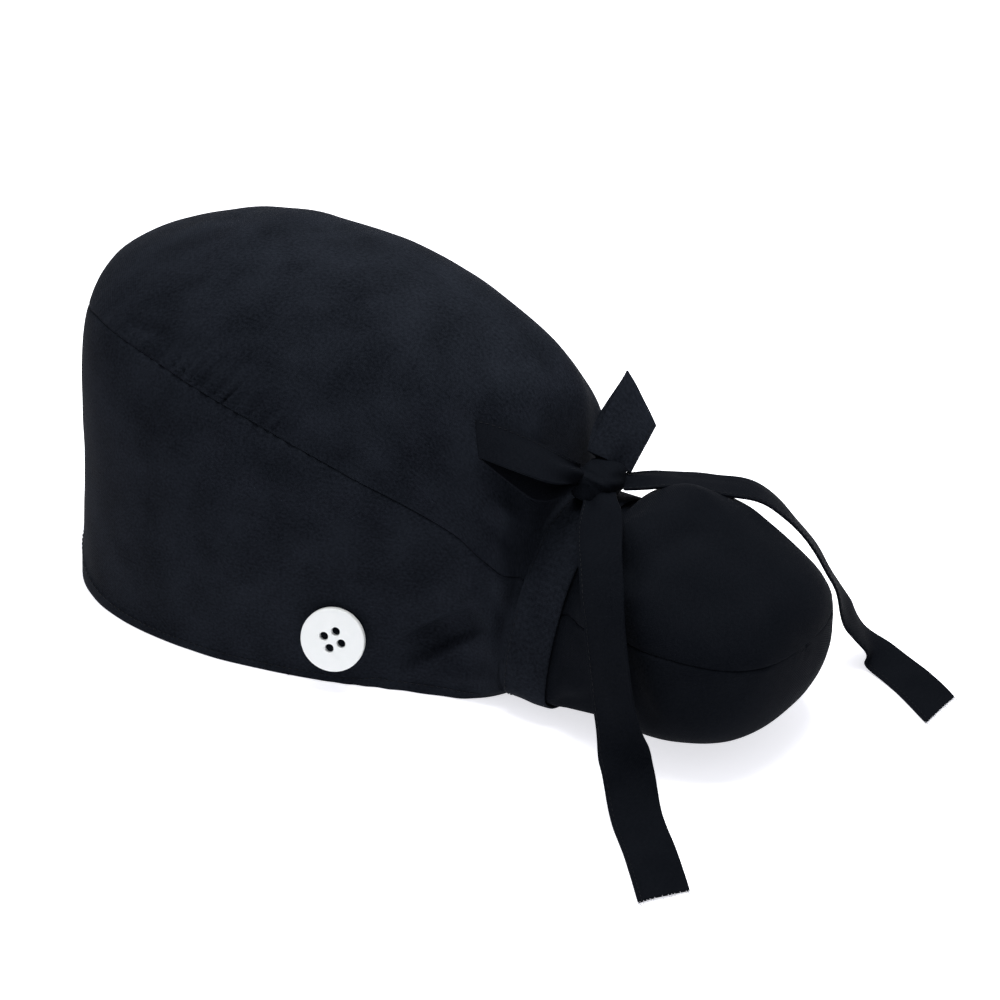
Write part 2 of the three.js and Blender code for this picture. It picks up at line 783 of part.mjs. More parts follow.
const farTailRows = [
  { along: 0.208, across: 0.385, up: 0.936, width: 0.9, faceX: 0.007, faceY: 0.172, faceZ: 0.97 },
  { along: 0.346, across: 0.631, up: 0.893, width: 1, faceX: 0.117, faceY: 0.191, faceZ: 0.95 },
  { along: 0.483, across: 0.883, up: 0.831, width: 1, faceX: 0.217, faceY: 0.23, faceZ: 0.92 },
  { along: 0.61, across: 1.07, up: 0.66, width: 1, faceX: 0.31, faceY: 0.365, faceZ: 0.85 },
  { along: 0.711, across: 1.198, up: 0.455, width: 1, faceX: 0.5, faceY: 0.42, faceZ: 0.73 },
  { along: 0.788, across: 1.316, up: 0.22, width: 1, faceX: 0.45, faceY: 0.1, faceZ: 0.88 },
  { along: 0.894, across: 1.445, up: 0.035, width: 1, faceX: 0, faceY: 0, faceZ: 1 },
  { along: 1.103, across: 1.305, up: 0, width: 1, faceX: 0, faceY: 0, faceZ: 1 },
  { along: 1.301, across: 1.07, up: 0, width: 1, faceX: 0, faceY: 0, faceZ: 1 },
];

function leftLoop() {
  const x = mix(foreheadX, neckFrontX, leftLoopShare);
  const spot = clothSpot(x, THREE.MathUtils.degToRad(leftLoopAngle), -1);
  return bowLoop({
    tip: spot.point.addScaledVector(spot.normal, loopLift),
    face: leftLoopFace,
    arch: loopArch,
    skew: leftLoopSkew,
    rootShare: leftRootShare,
  });
}

function rightLoop() {
  return bowLoop({
    tip: rightLoopWay.clone().setLength(rightLoopLength).add(knotCentre),
    face: rightLoopFace,
    arch: 0,
    skew: rightLoopSkew,
    rootShare: rightRootShare,
  });
}

const group = new THREE.Group();
const cloth = { color: 0x15181f, roughness: 0.85, metalness: 0 };

function add(name, geometry, finish) {
  const mesh = new THREE.Mesh(geometry, new THREE.MeshStandardMaterial(finish));
  mesh.name = name;
  group.add(mesh);
  return mesh;
}

add("crown_panel", crownPanel(), cloth);
add("side_band", sideBand(), cloth);
add("pouch_upper", pouchUpper(), cloth);
add("pouch_lower", pouchLower(), cloth);
add("neck_strap", neckStrap(), cloth);
add("knot", knot(), cloth).position.copy(knotCentre);
add("bow_loop_left", leftLoop(), cloth);
add("bow_loop_right", rightLoop(), cloth);
add("tie_tail_near", tieTail(nearTailRows, nearTailStart, nearTailCut), cloth);
add("tie_tail_far", tieTail(farTailRows, farTailStart, farTailCut), cloth);

const plastic = { color: 0xf4f3ef, roughness: 0.35, metalness: 0 };
for (const [name, side] of [["button_left", -1], ["button_right", 1]]) {
  const { geometry, place, turned } = button(side);
  const mesh = add(name, geometry, plastic);
  mesh.position.copy(place);
  mesh.quaternion.copy(turned);
}

// The frame's origin is under the middle of the whole cap, on the surface that it rests on.
const box = new THREE.Box3().setFromObject(group);
group.position.set(-(box.min.x + box.max.x) / 2, -(box.min.y + box.max.y) / 2, 0);

export default group;
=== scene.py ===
import json
import math

import bmesh
import bpy
import numpy as np
from mathutils import Matrix, Vector, noise


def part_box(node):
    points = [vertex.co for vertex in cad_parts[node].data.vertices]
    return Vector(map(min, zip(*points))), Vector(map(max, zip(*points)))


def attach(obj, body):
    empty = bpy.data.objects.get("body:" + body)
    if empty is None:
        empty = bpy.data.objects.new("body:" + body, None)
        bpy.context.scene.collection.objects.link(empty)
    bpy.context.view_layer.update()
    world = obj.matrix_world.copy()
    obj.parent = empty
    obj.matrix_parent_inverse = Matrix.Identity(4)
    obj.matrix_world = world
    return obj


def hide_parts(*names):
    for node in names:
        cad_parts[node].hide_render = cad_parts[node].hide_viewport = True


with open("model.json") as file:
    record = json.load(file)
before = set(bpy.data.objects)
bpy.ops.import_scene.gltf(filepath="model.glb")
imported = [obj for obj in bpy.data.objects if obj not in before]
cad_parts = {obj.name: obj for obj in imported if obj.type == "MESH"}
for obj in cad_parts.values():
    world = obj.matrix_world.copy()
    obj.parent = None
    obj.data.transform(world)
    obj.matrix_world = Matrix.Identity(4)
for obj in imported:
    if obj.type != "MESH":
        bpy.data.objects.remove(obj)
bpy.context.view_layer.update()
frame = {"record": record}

# Photographer's table
# The cap stands on a seamless white surface under a softbox that hangs close above it. Two weaker
# lamps fill in from the left and from behind, and the camera looks down on its left rear.
NECK_MIDDLE_X = 124.5
NECK_LEAN = 0.07
STRAP_TOP = 77.5
KNOT_SIZE = np.array((19.0, 21.0, 14.0))
KNOT_SQUARE = 2.8
knot_centre = np.array((NECK_MIDDLE_X + NECK_LEAN * STRAP_TOP, 0, STRAP_TOP + 0.3 + KNOT_SIZE[2] / 2))
knot_low, knot_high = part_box("knot")
cap_shift = np.array((knot_low + knot_high) / 2) * 1000 - knot_centre


def to_frame(points):
    """Cap millimetres, counted from the middle of the head, to metres in the part's frame."""
    return (np.asarray(points, float) + cap_shift) * 0.001


def make_mesh(name, points, edges, faces):
    """A mesh over points in cap millimetres."""
    mesh = bpy.data.meshes.new(name)
    mesh.from_pydata(to_frame(np.reshape(points, (-1, 3))).tolist(), edges, faces)
    return mesh


def add_object(name, data):
    """Puts a mesh, curve, lamp or camera into the scene under a name."""
    thing = bpy.data.objects.new(name, data)
    bpy.context.scene.collection.objects.link(thing)
    return thing


def set_inputs(tree, node, inputs):
    """Sets a node's inputs, each to a value or to what another node puts out."""
    for socket, value in inputs.items():
        if isinstance(value, bpy.types.NodeSocket):
            tree.links.new(value, node.inputs[socket])
        else:
            node.inputs[socket].default_value = value


def new_material(name, inputs):
    """A material with inputs of its surface shader, and what is needed to wire more into it."""
    material = bpy.data.materials.new(name)
    material.use_nodes = True
    tree = material.node_tree
    shader = tree.nodes["Principled BSDF"]
    set_inputs(tree, shader, inputs)
    return material, tree, shader


CAMERA_TURN = math.radians(35)
CAMERA_RISE = math.radians(28)
CAMERA_DISTANCE = 1.221
CAMERA_AIM = (81.9, 4.2, 60.4)
CAMERA_LENS = 114.3
towards_camera = Vector((
    math.sin(CAMERA_TURN) * math.cos(CAMERA_RISE),
    -math.cos(CAMERA_TURN) * math.cos(CAMERA_RISE),
    math.sin(CAMERA_RISE),
))
camera_data = bpy.data.cameras.new("camera")
camera_data.lens = CAMERA_LENS
camera_data.sensor_width = 36
camera = add_object("camera", camera_data)
camera.location = Vector(to_frame(CAMERA_AIM)) + towards_camera * CAMERA_DISTANCE
camera.rotation_euler = towards_camera.to_track_quat("Z", "Y").to_euler()
bpy.context.scene.camera = camera
bpy.context.scene.view_settings.view_transform = "Standard"

LAMPS = {
    "overhead": {"at": (0.05, 0.05, 0.66), "size": 0.40, "power": 5.6},
    "behind_left": {"at": (-0.5, 0.9, 0.9), "size": 0.7, "power": 1.2},
    "left_side": {"at": (-1.2, -0.3, 0.7), "size": 0.8, "power": 1.6},
}
for name, lamp in LAMPS.items():
    light = bpy.data.lights.new(name, "AREA")
    light.size = lamp["size"]
    light.energy = lamp["power"]
    holder = add_object(name, light)
    holder.location = lamp["at"]
    holder.rotation_euler = Vector(lamp["at"]).to_track_quat("Z", "Y").to_euler()
world = bpy.data.worlds.new("studio")
world.use_nodes = True
backdrop = world.node_tree.nodes["Background"]
backdrop.inputs["Color"].default_value = (0.93, 0.94, 1.0, 1)
backdrop.inputs["Strength"].default_value = 0.55
bpy.context.scene.world = world

TABLE_HALF = 4.0
TABLE_BELOW = 0.0003
table_mesh = bpy.data.meshes.new("table_top")
table_mesh.from_pydata(
    [(x * TABLE_HALF, y * TABLE_HALF, -TABLE_BELOW) for x, y in ((-1, -1), (1, -1), (1, 1), (-1, 1))],
    [],
    [(0, 1, 2, 3)],
)
table_top = add_object("table_top", table_mesh)
white_paper, _, _ = new_material("white_paper", {
    "Base Color": (0.9, 0.9, 0.92, 1),
    "Roughness": 0.9,
    "Specular IOR Level": 0.1,
    "Emission Color": (0.96, 0.96, 1.0, 1),
    "Emission Strength": 0.7,
})
table_mesh.materials.append(white_paper)


# Crown panel
# One piece of thin cotton blend covers the top of the head, from the seam on one side over to the
# other. It is eased on to the band below it, which leaves fine puckers above the seam.
HEAD = {"front": -103.0, "length": 216.0, "width": 149.0, "crown": 154.0, "forehead": 123.0, "lean": 0.045}
NECK = {"half_width": 42.0, "height": 76.0, "bottom": 1.8, "square": 1.6, "length": 23.0}
NECK["middle"] = NECK["bottom"] + 0.2 * (NECK["height"] - NECK["bottom"])
POUCH = {"length": 86.5, "width": 100.0, "height": 88.0, "sway": 3.0}
# Share of the pouch's length where its end starts to round off, and how square that end is
POUCH_ROUND = {"start": 0.275, "square": 2.8}
# The pouch's top sinks by a share of its height, over this part of its length
POUCH_DROP = {"depth": 0.38, "start": 0.15, "over": 0.7}
NECK_FRONT = HEAD["front"] + HEAD["length"]
NECK_REAR = NECK_FRONT + NECK["length"]
POUCH_END = NECK_REAR + POUCH["length"]
WIDEST = HEAD["front"] + 0.4 * HEAD["length"]
SIDE_SQUARE = 2.3
BOTTOM_SQUARE = 3.0
# Share of the head's length, height as a share from neck to crown, how boxy the top is
RIDGE = (
    (0, 0.59, 9), (0.02, 0.65, 7.5), (0.06, 0.73, 6), (0.14, 0.83, 4.4), (0.26, 0.94, 3.3), (0.4, 1.0, 2.9),
    (0.55, 1.0, 2.7), (0.7, 0.94, 2.6), (0.83, 0.81, 2.6), (0.92, 0.67, 2.6), (0.97, 0.5, 2.3), (1, 0, 1.6),
)
# Share of the way from the widest place to the neck, share of the width left over the neck's
REAR_WIDTH = ((0, 1), (0.12, 0.97), (0.3, 0.85), (0.5, 0.62), (0.7, 0.3), (0.85, 0.09), (1, 0))
# Share of the way from the forehead to the strap, seam height as a share of its own range
SEAM = ((0, 0.93), (0.12, 1), (0.25, 0.97), (0.45, 0.84), (0.65, 0.63), (0.83, 0.38), (0.93, 0.18), (1, 0))
SEAM_HEIGHTS = (44.0, 116.0)
POUCH_SWELL = ((0, 0), (0.1, 0.42), (0.25, 0.82), (0.45, 1), (1, 1))
POUCH_SEAM = {"end": 47.0, "bow": 7.0}


def smooth(t):
    t = np.clip(t, 0, 1)
    return t * t * (3 - 2 * t)


def mix(a, b, t):
    return a + (b - a) * t


def cubic(a, leaving, b, arriving, t):
    """Smooth way from a to b, with the slope it leaves at and the slope it arrives at."""
    return (
        a * (2 * t**3 - 3 * t**2 + 1)
        + leaving * (t**3 - 2 * t**2 + t)
        + b * (3 * t**2 - 2 * t**3)
        + arriving * (t**3 - t**2)
    )


def read_rows(rows, column, at):
    """Reads one column of a table between its rows, smoothly and without overshoot."""
    places = [row[0] for row in rows]
    values = [row[column] for row in rows]
    at = min(places[-1], max(places[0], at))
    i = min(len(rows) - 2, max(0, int(np.searchsorted(places, at)) - 1))
    slopes = [(values[k + 1] - values[k]) / (places[k + 1] - places[k]) for k in range(len(rows) - 1)]

    def slope(k):
        if k == 0 or k == len(rows) - 1:
            return slopes[min(k, len(slopes) - 1)]
        before, after = slopes[k - 1], slopes[k]
        return 0 if before * after <= 0 else 2 * before * after / (before + after)

    span = places[i + 1] - places[i]
    return cubic(values[i], slope(i) * span, values[i + 1], slope(i + 1) * span, (at - places[i]) / span)


def section(half, top, middle, deep, square, lean, sway=0.0):
    return {"half": half, "top": top, "middle": middle, "deep": deep, "square": square,
            "lean": lean, "sway": sway}


def cross_section(x):
    """The cap's cross-section at a place along it, in millimetres."""
    if x <= NECK_FRONT:
        share = (x - HEAD["front"]) / HEAD["length"]
        if x < WIDEST:
            ahead = min(1, (WIDEST - x) / (WIDEST - HEAD["front"]))
            half = HEAD["width"] / 2 * (1 - ahead**2.5) ** (1 / 2.5)
        else:
            behind = (x - WIDEST) / (NECK_FRONT - WIDEST)
            half = mix(NECK["half_width"], HEAD["width"] / 2, read_rows(REAR_WIDTH, 1, behind))
        rise = read_rows(RIDGE, 1, share)
        first = RIDGE[0][1]
        if share < 0.4:
            top = mix(HEAD["forehead"], HEAD["crown"], (rise - first) / (1 - first))
        else:
            top = mix(NECK["height"], HEAD["crown"], rise)
        middle = NECK["middle"] * smooth((share - 0.62) / 0.38)
        open_from = HEAD["front"] + 0.86 * HEAD["length"]
        open_to = NECK_FRONT - 0.3
        closed = min(1, max(0, (x - open_from) / (open_to - open_from)))
        opening = min(0.9999, (1 - closed**3) ** (1 / 3))
        below = (1 - opening**SIDE_SQUARE) ** (1 / BOTTOM_SQUARE)
        settle = NECK["bottom"] * smooth((x - open_to) / (NECK_FRONT - open_to))
        lean = mix(HEAD["lean"], 0, smooth(2 * share)) + NECK_LEAN * smooth(2 * share - 1)
        return section(half, top, middle, middle / below - settle, read_rows(RIDGE, 2, share), lean)
    if x <= NECK_REAR:
        deep = NECK["middle"] - NECK["bottom"]
        return section(NECK["half_width"], NECK["height"], NECK["middle"], deep, NECK["square"], NECK_LEAN)
    share = min(1, (x - NECK_REAR) / POUCH["length"])
    swell = read_rows(POUCH_SWELL, 1, share)
    end = max(0, (share - POUCH_ROUND["start"]) / (1 - POUCH_ROUND["start"]))
    rounding = max(0, 1 - end ** POUCH_ROUND["square"]) ** (1 / POUCH_ROUND["square"])
    sink = 1 - POUCH_DROP["depth"] * smooth((share - POUCH_DROP["start"]) / POUCH_DROP["over"])
    middle = mix(NECK["middle"], POUCH["height"] / 2, swell)
    return section(
        mix(NECK["half_width"], POUCH["width"] / 2, swell) * rounding,
        middle + mix(NECK["height"] - NECK["middle"], POUCH["height"] / 2, swell) * rounding * sink,
        middle,
        mix(NECK["middle"] - NECK["bottom"], POUCH["height"] / 2, swell) * rounding,
        mix(NECK["square"], SIDE_SQUARE, swell),
        NECK_LEAN * (1 - smooth(share)),
        -POUCH["sway"] * share,
    )


def seam_height(x):
    if x <= NECK_MIDDLE_X:
        share = (x - HEAD["front"]) / (NECK_MIDDLE_X - HEAD["front"])
        return mix(SEAM_HEIGHTS[0], SEAM_HEIGHTS[1], read_rows(SEAM, 1, share))
    share = (x - NECK_MIDDLE_X) / (POUCH_END - NECK_MIDDLE_X)
    return mix(SEAM_HEIGHTS[0], POUCH_SEAM["end"], share) + POUCH_SEAM["bow"] * math.sin(math.pi * share)


def angle_at(s, z):
    if z >= s["middle"]:
        return math.asin(min(1, (z - s["middle"]) / max(1e-9, s["top"] - s["middle"])) ** (s["square"] / 2))
    return -math.asin(min(1, (s["middle"] - z) / max(1e-9, s["deep"])) ** (BOTTOM_SQUARE / 2))


def section_curve(s, angles):
    across = s["half"] * np.maximum(0, np.cos(angles)) ** (2 / SIDE_SQUARE)
    up = s["middle"] + (s["top"] - s["middle"]) * np.abs(np.sin(angles)) ** (2 / s["square"])
    down = s["middle"] - s["deep"] * np.abs(np.sin(angles)) ** (2 / BOTTOM_SQUARE)
    return across, np.where(angles >= 0, up, down)


EDGE_ROWS = np.array((0, 0.35, 0.7, 1.1, 1.6, 2.3))
INNER_FROM = 3.1
# A side shorter than this has its rows at the same shares as one that is 100 mm long
SHORT_SIDE = 12


def half_section(x, low, high, steps):
    """Points up one side of the cap between two heights, closer together beside the panel's edges."""
    s = cross_section(x)
    start = angle_at(s, max(low, s["middle"] - s["deep"]))
    stop = angle_at(s, min(high, s["top"]))
    fine = np.linspace(start, stop, 129)
    across, z = section_curve(s, fine)
    run = np.concatenate([[0], np.cumsum(np.hypot(np.diff(across), np.diff(z)))])
    whole = max(run[-1], 1e-6)
    counted = whole if whole > SHORT_SIDE else 100
    inner_rows = np.linspace(INNER_FROM, counted - INNER_FROM, steps)
    rows = np.concatenate([EDGE_ROWS, inner_rows, counted - EDGE_ROWS[::-1]]) / counted
    angles = np.interp(rows * whole, run, fine)
    across, z = section_curve(s, angles)
    return {"x": x + s["lean"] * z, "across": across, "z": z, "angle": angles, "run": rows * whole,
            "whole": np.full(len(rows), whole), "sway": s["sway"]}


def stack_columns(stations, low, high, steps, side):
    """A panel's points on one side of the cap, with what its folds need to know at each of them."""
    columns = [half_section(x, low(x), high(x), steps) for x in stations]
    got = {key: np.array([c[key] for c in columns]) for key in ("x", "across", "z", "angle", "run", "whole")}
    station = np.repeat(np.array(stations)[:, None], got["z"].shape[1], axis=1)
    sway = np.array([c["sway"] for c in columns])[:, None]
    points = np.stack([got["x"], side * got["across"] + sway, got["z"]], axis=-1)
    return {"points": points, "station": station, "angle": got["angle"], "up": got["run"],
            "down": got["whole"] - got["run"], "side": np.full(station.shape, float(side))}


def whole_sheet(stations, low, high, steps, joined):
    """Both sides of a panel as one sheet, joined over the ridge, under the keel or round the front."""
    left, right = (stack_columns(stations, low, high, steps, side) for side in (-1, 1))
    if joined == "ridge":
        return {key: np.concatenate([left[key], right[key][:, ::-1][:, 1:]], axis=1) for key in left}
    if joined == "keel":
        return {key: np.concatenate([right[key][:, ::-1], left[key][:, 1:]], axis=1) for key in left}
    return {key: np.concatenate([right[key][::-1][:-1], left[key]]) for key in left}


def unit_rows(v):
    return v / np.maximum(1e-9, np.linalg.norm(v, axis=1))[:, None]


def run_back(sheet):
    """Cloth length from the sheet's first row to each of its points."""
    steps = np.linalg.norm(np.diff(sheet["points"], axis=0), axis=2)
    return np.concatenate([np.zeros((1, steps.shape[1])), np.cumsum(steps, axis=0)])


def cloth_mesh(name, sheet, relief, uv):
    """Welds a sheet of points, lifts it along its own normals and gives it a UV map in metres."""
    rows, columns = sheet["station"].shape
    points = sheet["points"].reshape(-1, 3)
    keys = np.round(points, 3)
    _, first, where = np.unique(keys, axis=0, return_index=True, return_inverse=True)
    where = where.reshape(-1)
    corner = np.arange(rows * columns).reshape(rows, columns)
    quads = np.stack([corner[:-1, :-1], corner[1:, :-1], corner[1:, 1:], corner[:-1, 1:]], axis=-1)
    quads = quads.reshape(-1, 4)
    base = points[first]
    welded = where[quads]
    normal = np.cross(base[welded[:, 2]] - base[welded[:, 0]], base[welded[:, 3]] - base[welded[:, 1]])
    normals = np.zeros_like(base)
    for k in range(4):
        np.add.at(normals, welded[:, k], normal)
    normals = unit_rows(normals)
    lifted = base + normals * relief.reshape(-1)[first][:, None]
    lifted[:, 2] = np.maximum(lifted[:, 2], 0.05)
    faces = []
    loops = []
    for old, new in zip(quads.tolist(), welded.tolist()):
        kept = [k for k in range(4) if new[k] != new[k - 1]]
        if len(kept) >= 3 and len({new[k] for k in kept}) == len(kept):
            faces.append([new[k] for k in kept])
            loops.extend(old[k] for k in kept)
    mesh = make_mesh(name, lifted, [], faces)
    layer = mesh.uv_layers.new(name="UVMap")
    layer.data.foreach_set("uv", uv.reshape(-1, 2)[loops].reshape(-1))
    mesh.shade_smooth()
    return add_object(name, mesh), (lifted, normals, where.reshape(rows, columns))


def baked(thing):
    """The plain mesh that a piece's modifiers, or a curve, make."""
    bpy.context.view_layer.update()
    depsgraph = bpy.context.evaluated_depsgraph_get()
    return bpy.data.meshes.new_from_object(thing.evaluated_get(depsgraph))


def baked_away(thing):
    """The plain mesh of a guide that isn't needed after it."""
    mesh = baked(thing)
    bpy.data.objects.remove(thing)
    return mesh


def apply_modifiers(piece):
    shape = baked(piece)
    piece.modifiers.clear()
    piece.data = shape
    shape.shade_smooth()


def give_wall(piece, thickness, offset=-1.0):
    """Turns a sheet into cloth with two faces and closed edges."""
    wall = piece.modifiers.new("wall", "SOLIDIFY")
    wall.thickness = thickness
    wall.offset = offset
    wall.use_rim = True
    apply_modifiers(piece)


def rumpled(sheet, sizes, seed):
    """Soft unevenness of cloth: noise over the cap, one layer for each size and height."""
    points = sheet["points"].reshape(-1, 3)
    total = 0.0
    for k, (size, height) in enumerate(sizes):
        layer = [noise.noise(p) for p in (points / size + seed + 5 * k).tolist()]
        total = total + height * np.array(layer).reshape(sheet["station"].shape)
    return total


def fold_line(x, z, start, stop, width):
    """1 along a line in side view, fading to 0 over a width and towards its ends."""
    start, stop = np.array(start, float), np.array(stop, float)
    way = stop - start
    t = ((x - start[0]) * way[0] + (z - start[1]) * way[1]) / (way @ way)
    held = np.clip(t, 0, 1)
    far = np.hypot(x - start[0] - held * way[0], z - start[1] - held * way[1])
    return np.exp(-(far / width) ** 2) * smooth((t + 0.25) / 0.4) * smooth((1.25 - t) / 0.4)


# Folds of the head part: side, start and stop in side view, width and height in millimetres
HEAD_FOLDS = (
    (-1, (86, 30), (92, 22), 19, -6.4),
    (-1, (98, 62), (116, 24), 7.5, 3.4),
    (-1, (104, 52), (119, 38), 4.5, -2.2),
    (-1, (62, 6), (106, 12), 3.6, 0.7),
    (-1, (70, 14), (100, 21), 4.0, -0.8),
    (-1, (108, 86), (121, 73), 2.6, 1.7),
    (-1, (104, 78), (119, 66), 3.2, -1.4),
    (-1, (-52, 121), (-34, 122), 2.2, -1.0),
    (-1, (-50, 125), (-30, 127), 2.6, 0.7),
    (1, (86, 30), (82, 26), 14, -3.6),
    (1, (97, 60), (114, 26), 5, 1.8),
    (1, (40, 60), (104, 40), 7, 0.9),
)
# Soft unevenness of the cloth, large and small: size over the cap and height in millimetres
HEAD_RUMPLES = ((42, 0.9), (13, 0.2))
# The forehead stands straighter than the bare form: out at the seam, back at the middle
FOREHEAD = {"reach": 85.0, "out": 1.0, "top": 110.0, "back": 2.6, "middle": 58.0}
GATHERS = {"depth": 2.2, "reach": 7.0, "folds": 11, "wander": 0.9}


def folded(sheet, folds, mask_of):
    """Height of a table's folds over a sheet, each shown only where its side's mask lets it."""
    x, z = sheet["points"][..., 0], sheet["points"][..., 2]
    height = 0.0
    for side, start, stop, width, depth in folds:
        height = height + depth * mask_of(side) * fold_line(x, z, start, stop, width)
    return height


def gathered(sheet, ahead):
    """Depth of the gathers that run out from under the strap."""
    away = np.maximum(0, np.abs(sheet["station"] - NECK_MIDDLE_X) - NECK["length"] / 2)
    reach = GATHERS["reach"] * (1 if ahead else 1.5)
    depth = GATHERS["depth"] * (0.6 if ahead else 1.0)
    fade = away / reach * np.exp(1 - away / reach)
    turn = np.where(sheet["side"] < 0, sheet["angle"], math.pi - sheet["angle"])
    wave = np.cos(GATHERS["folds"] * turn + GATHERS["wander"] * np.sin(2 * turn + 1)) - 1
    finer = np.cos(1.9 * GATHERS["folds"] * turn + 1.7 * np.sin(3 * turn)) - 1
    clear = smooth((sheet["points"][..., 2] - 3) / 10)
    return depth * clear * (0.5 * fade * wave + 0.1 * np.exp(-away / (0.6 * reach)) * finer)


def head_relief(sheet, seed):
    z = sheet["points"][..., 2]
    away = np.abs(sheet["station"] - NECK_MIDDLE_X) - NECK["length"] / 2
    relief = gathered(sheet, True)
    relief = relief + folded(sheet, HEAD_FOLDS, lambda side: (sheet["side"] == side) * smooth(away / 5))
    relief = relief + rumpled(sheet, HEAD_RUMPLES, seed)
    forehead = smooth((HEAD["front"] + FOREHEAD["reach"] - sheet["station"]) / (0.8 * FOREHEAD["reach"]))
    upright = FOREHEAD["out"] * np.exp(-((z - FOREHEAD["top"]) / 20) ** 2)
    upright = upright - FOREHEAD["back"] * np.exp(-((z - FOREHEAD["middle"]) / 32) ** 2)
    return (relief + forehead * upright) * smooth((away + 2) / 4) - 0.25


SEAM_TUCK = 1.1
CLOTH_WALL = 0.0007
PUCKER_HEIGHT = 1.7


def crown_edge(x):
    return seam_height(x) + 0.05


def band_edge(x):
    return seam_height(x) + SEAM_TUCK


def beyond_top(x):
    return 1e3


def on_table(x):
    return 0.0


def seam_roll(distance):
    """How far a sewn edge turns in, and how deep it is tucked in past the seam."""
    beside = 0.75 * np.clip(1 - distance / 1.5, 0, 1) ** 2
    return -beside - 1.4 * np.clip(-distance / 0.4, 0, 1)


nose_stations = [WIDEST - (WIDEST - HEAD["front"]) * math.cos(t * math.pi / 2) for t in np.linspace(0, 1, 71)]
rear_stations = list(np.linspace(WIDEST, NECK_FRONT - 0.3, 122)[1:])
neck_stations = list(np.linspace(NECK_FRONT, NECK_MIDDLE_X, 8))
head_stations = nose_stations + rear_stations + neck_stations

crown_sheet = whole_sheet(head_stations, crown_edge, beyond_top, 74, "ridge")
station, up = crown_sheet["station"], crown_sheet["up"]
slant = station - 0.6 * up
pucker_here = np.exp(-((station + 10) / 40) ** 2) * np.exp(-up / 9)
pucker_wave = np.sin(slant * 1.15 + 1.5 * np.sin(slant * 0.31)) + 0.5 * np.sin(slant * 2.3 + 1)
crown_relief = (
    head_relief(crown_sheet, 3)
    + seam_roll(up)
    + PUCKER_HEIGHT * pucker_here * pucker_wave * smooth(up / 2)
)
crown_uv = np.stack([
    run_back(crown_sheet),
    np.where(crown_sheet["side"] < 0, -crown_sheet["down"], crown_sheet["down"]),
], axis=-1) * 0.001
crown, _ = cloth_mesh("crown_cloth", crown_sheet, crown_relief, crown_uv)


def new_group(name, kind, inputs, outputs):
    """A node group with named inputs of kind and value, its entry and its exit."""
    group = bpy.data.node_groups.new(name, kind)
    for socket, sort, value in inputs:
        made = group.interface.new_socket(name=socket, in_out="INPUT", socket_type="NodeSocket" + sort)
        if value is not None:
            made.default_value = value
    for socket, sort in outputs:
        group.interface.new_socket(name=socket, in_out="OUTPUT", socket_type="NodeSocket" + sort)
    return group, group.nodes.new("NodeGroupInput"), group.nodes.new("NodeGroupOutput")


def add_node(tree, kind, inputs, **settings):
    """A new node with its settings and inputs."""
    node = tree.nodes.new(kind)
    for key, value in settings.items():
        setattr(node, key, value)
    set_inputs(tree, node, inputs)
    return node


THREAD_PITCH = 0.0005
MOTTLE_SIZE = 0.02
SLUB_SCALE = (800, 1000, 1)
WEAVE_RELIEF = {"strength": 0.34, "distance": 0.0002}


def woven_group():
    """Plain weave from a UV map in metres: thread height, soft mottling and slubs in the threads."""
    group, entry, leave = new_group(
        "plain_weave",
        "ShaderNodeTree",
        (
            ("Cloth UV", "Vector", None),
            ("Thread Pitch", "Float", THREAD_PITCH),
            ("Mottle Size", "Float", MOTTLE_SIZE),
        ),
        (("Height", "Float"), ("Mottle", "Float"), ("Slub", "Float")),
    )
    uv = entry.outputs["Cloth UV"]

    def sums(operation, a, b=0.0):
        return add_node(group, "ShaderNodeMath", {0: a, 1: b}, operation=operation).outputs[0]

    split = add_node(group, "ShaderNodeSeparateXYZ", {0: uv})
    waves = []
    for axis in (0, 1):
        cycles = sums("DIVIDE", split.outputs[axis], entry.outputs["Thread Pitch"])
        waves.append(sums("SINE", sums("MULTIPLY", cycles, math.pi)))
    over = sums("GREATER_THAN", sums("MULTIPLY", waves[0], waves[1]), 0.0)
    warp, weft = (sums("ABSOLUTE", wave) for wave in waves)
    height = sums("ADD", sums("MULTIPLY", warp, over), sums("MULTIPLY", weft, sums("SUBTRACT", 1.0, over)))
    shrink = sums("DIVIDE", 1.0, entry.outputs["Mottle Size"])
    patches = add_node(group, "ShaderNodeVectorMath", {0: uv, "Scale": shrink}, operation="SCALE")
    streaks = add_node(group, "ShaderNodeVectorMath", {0: uv, 1: SLUB_SCALE}, operation="MULTIPLY")
    set_inputs(group, leave, {"Height": height})
    for name, scaled, detail in (("Mottle", patches, 4.0), ("Slub", streaks, 2.0)):
        texture = add_node(
            group, "ShaderNodeTexNoise", {"Scale": 1.0, "Detail": detail, "Vector": scaled.outputs[0]}
        )
        set_inputs(group, leave, {name: texture.outputs["Fac"]})
    return group


plain_weave = woven_group()


def blend_tones(tree, shader, pattern, first, second):
    """Colours a surface by a pattern that blends two tones."""
    tone = add_node(
        tree, "ShaderNodeMix", {"A": (*first, 1), "B": (*second, 1), "Factor": pattern}, data_type="RGBA"
    )
    set_inputs(tree, shader, {"Base Color": tone.outputs["Result"]})


def blend_roughness(tree, shader, pattern, low, high):
    rough = add_node(tree, "ShaderNodeMapRange", {"To Min": low, "To Max": high, "Value": pattern})
    set_inputs(tree, shader, {"Roughness": rough.outputs["Result"]})


def object_texture(tree, kind, inputs):
    """A texture that stays with the object, not with its UV map."""
    where = add_node(tree, "ShaderNodeTexCoord", {})
    return add_node(tree, kind, {"Vector": where.outputs["Object"], **inputs}).outputs["Fac"]


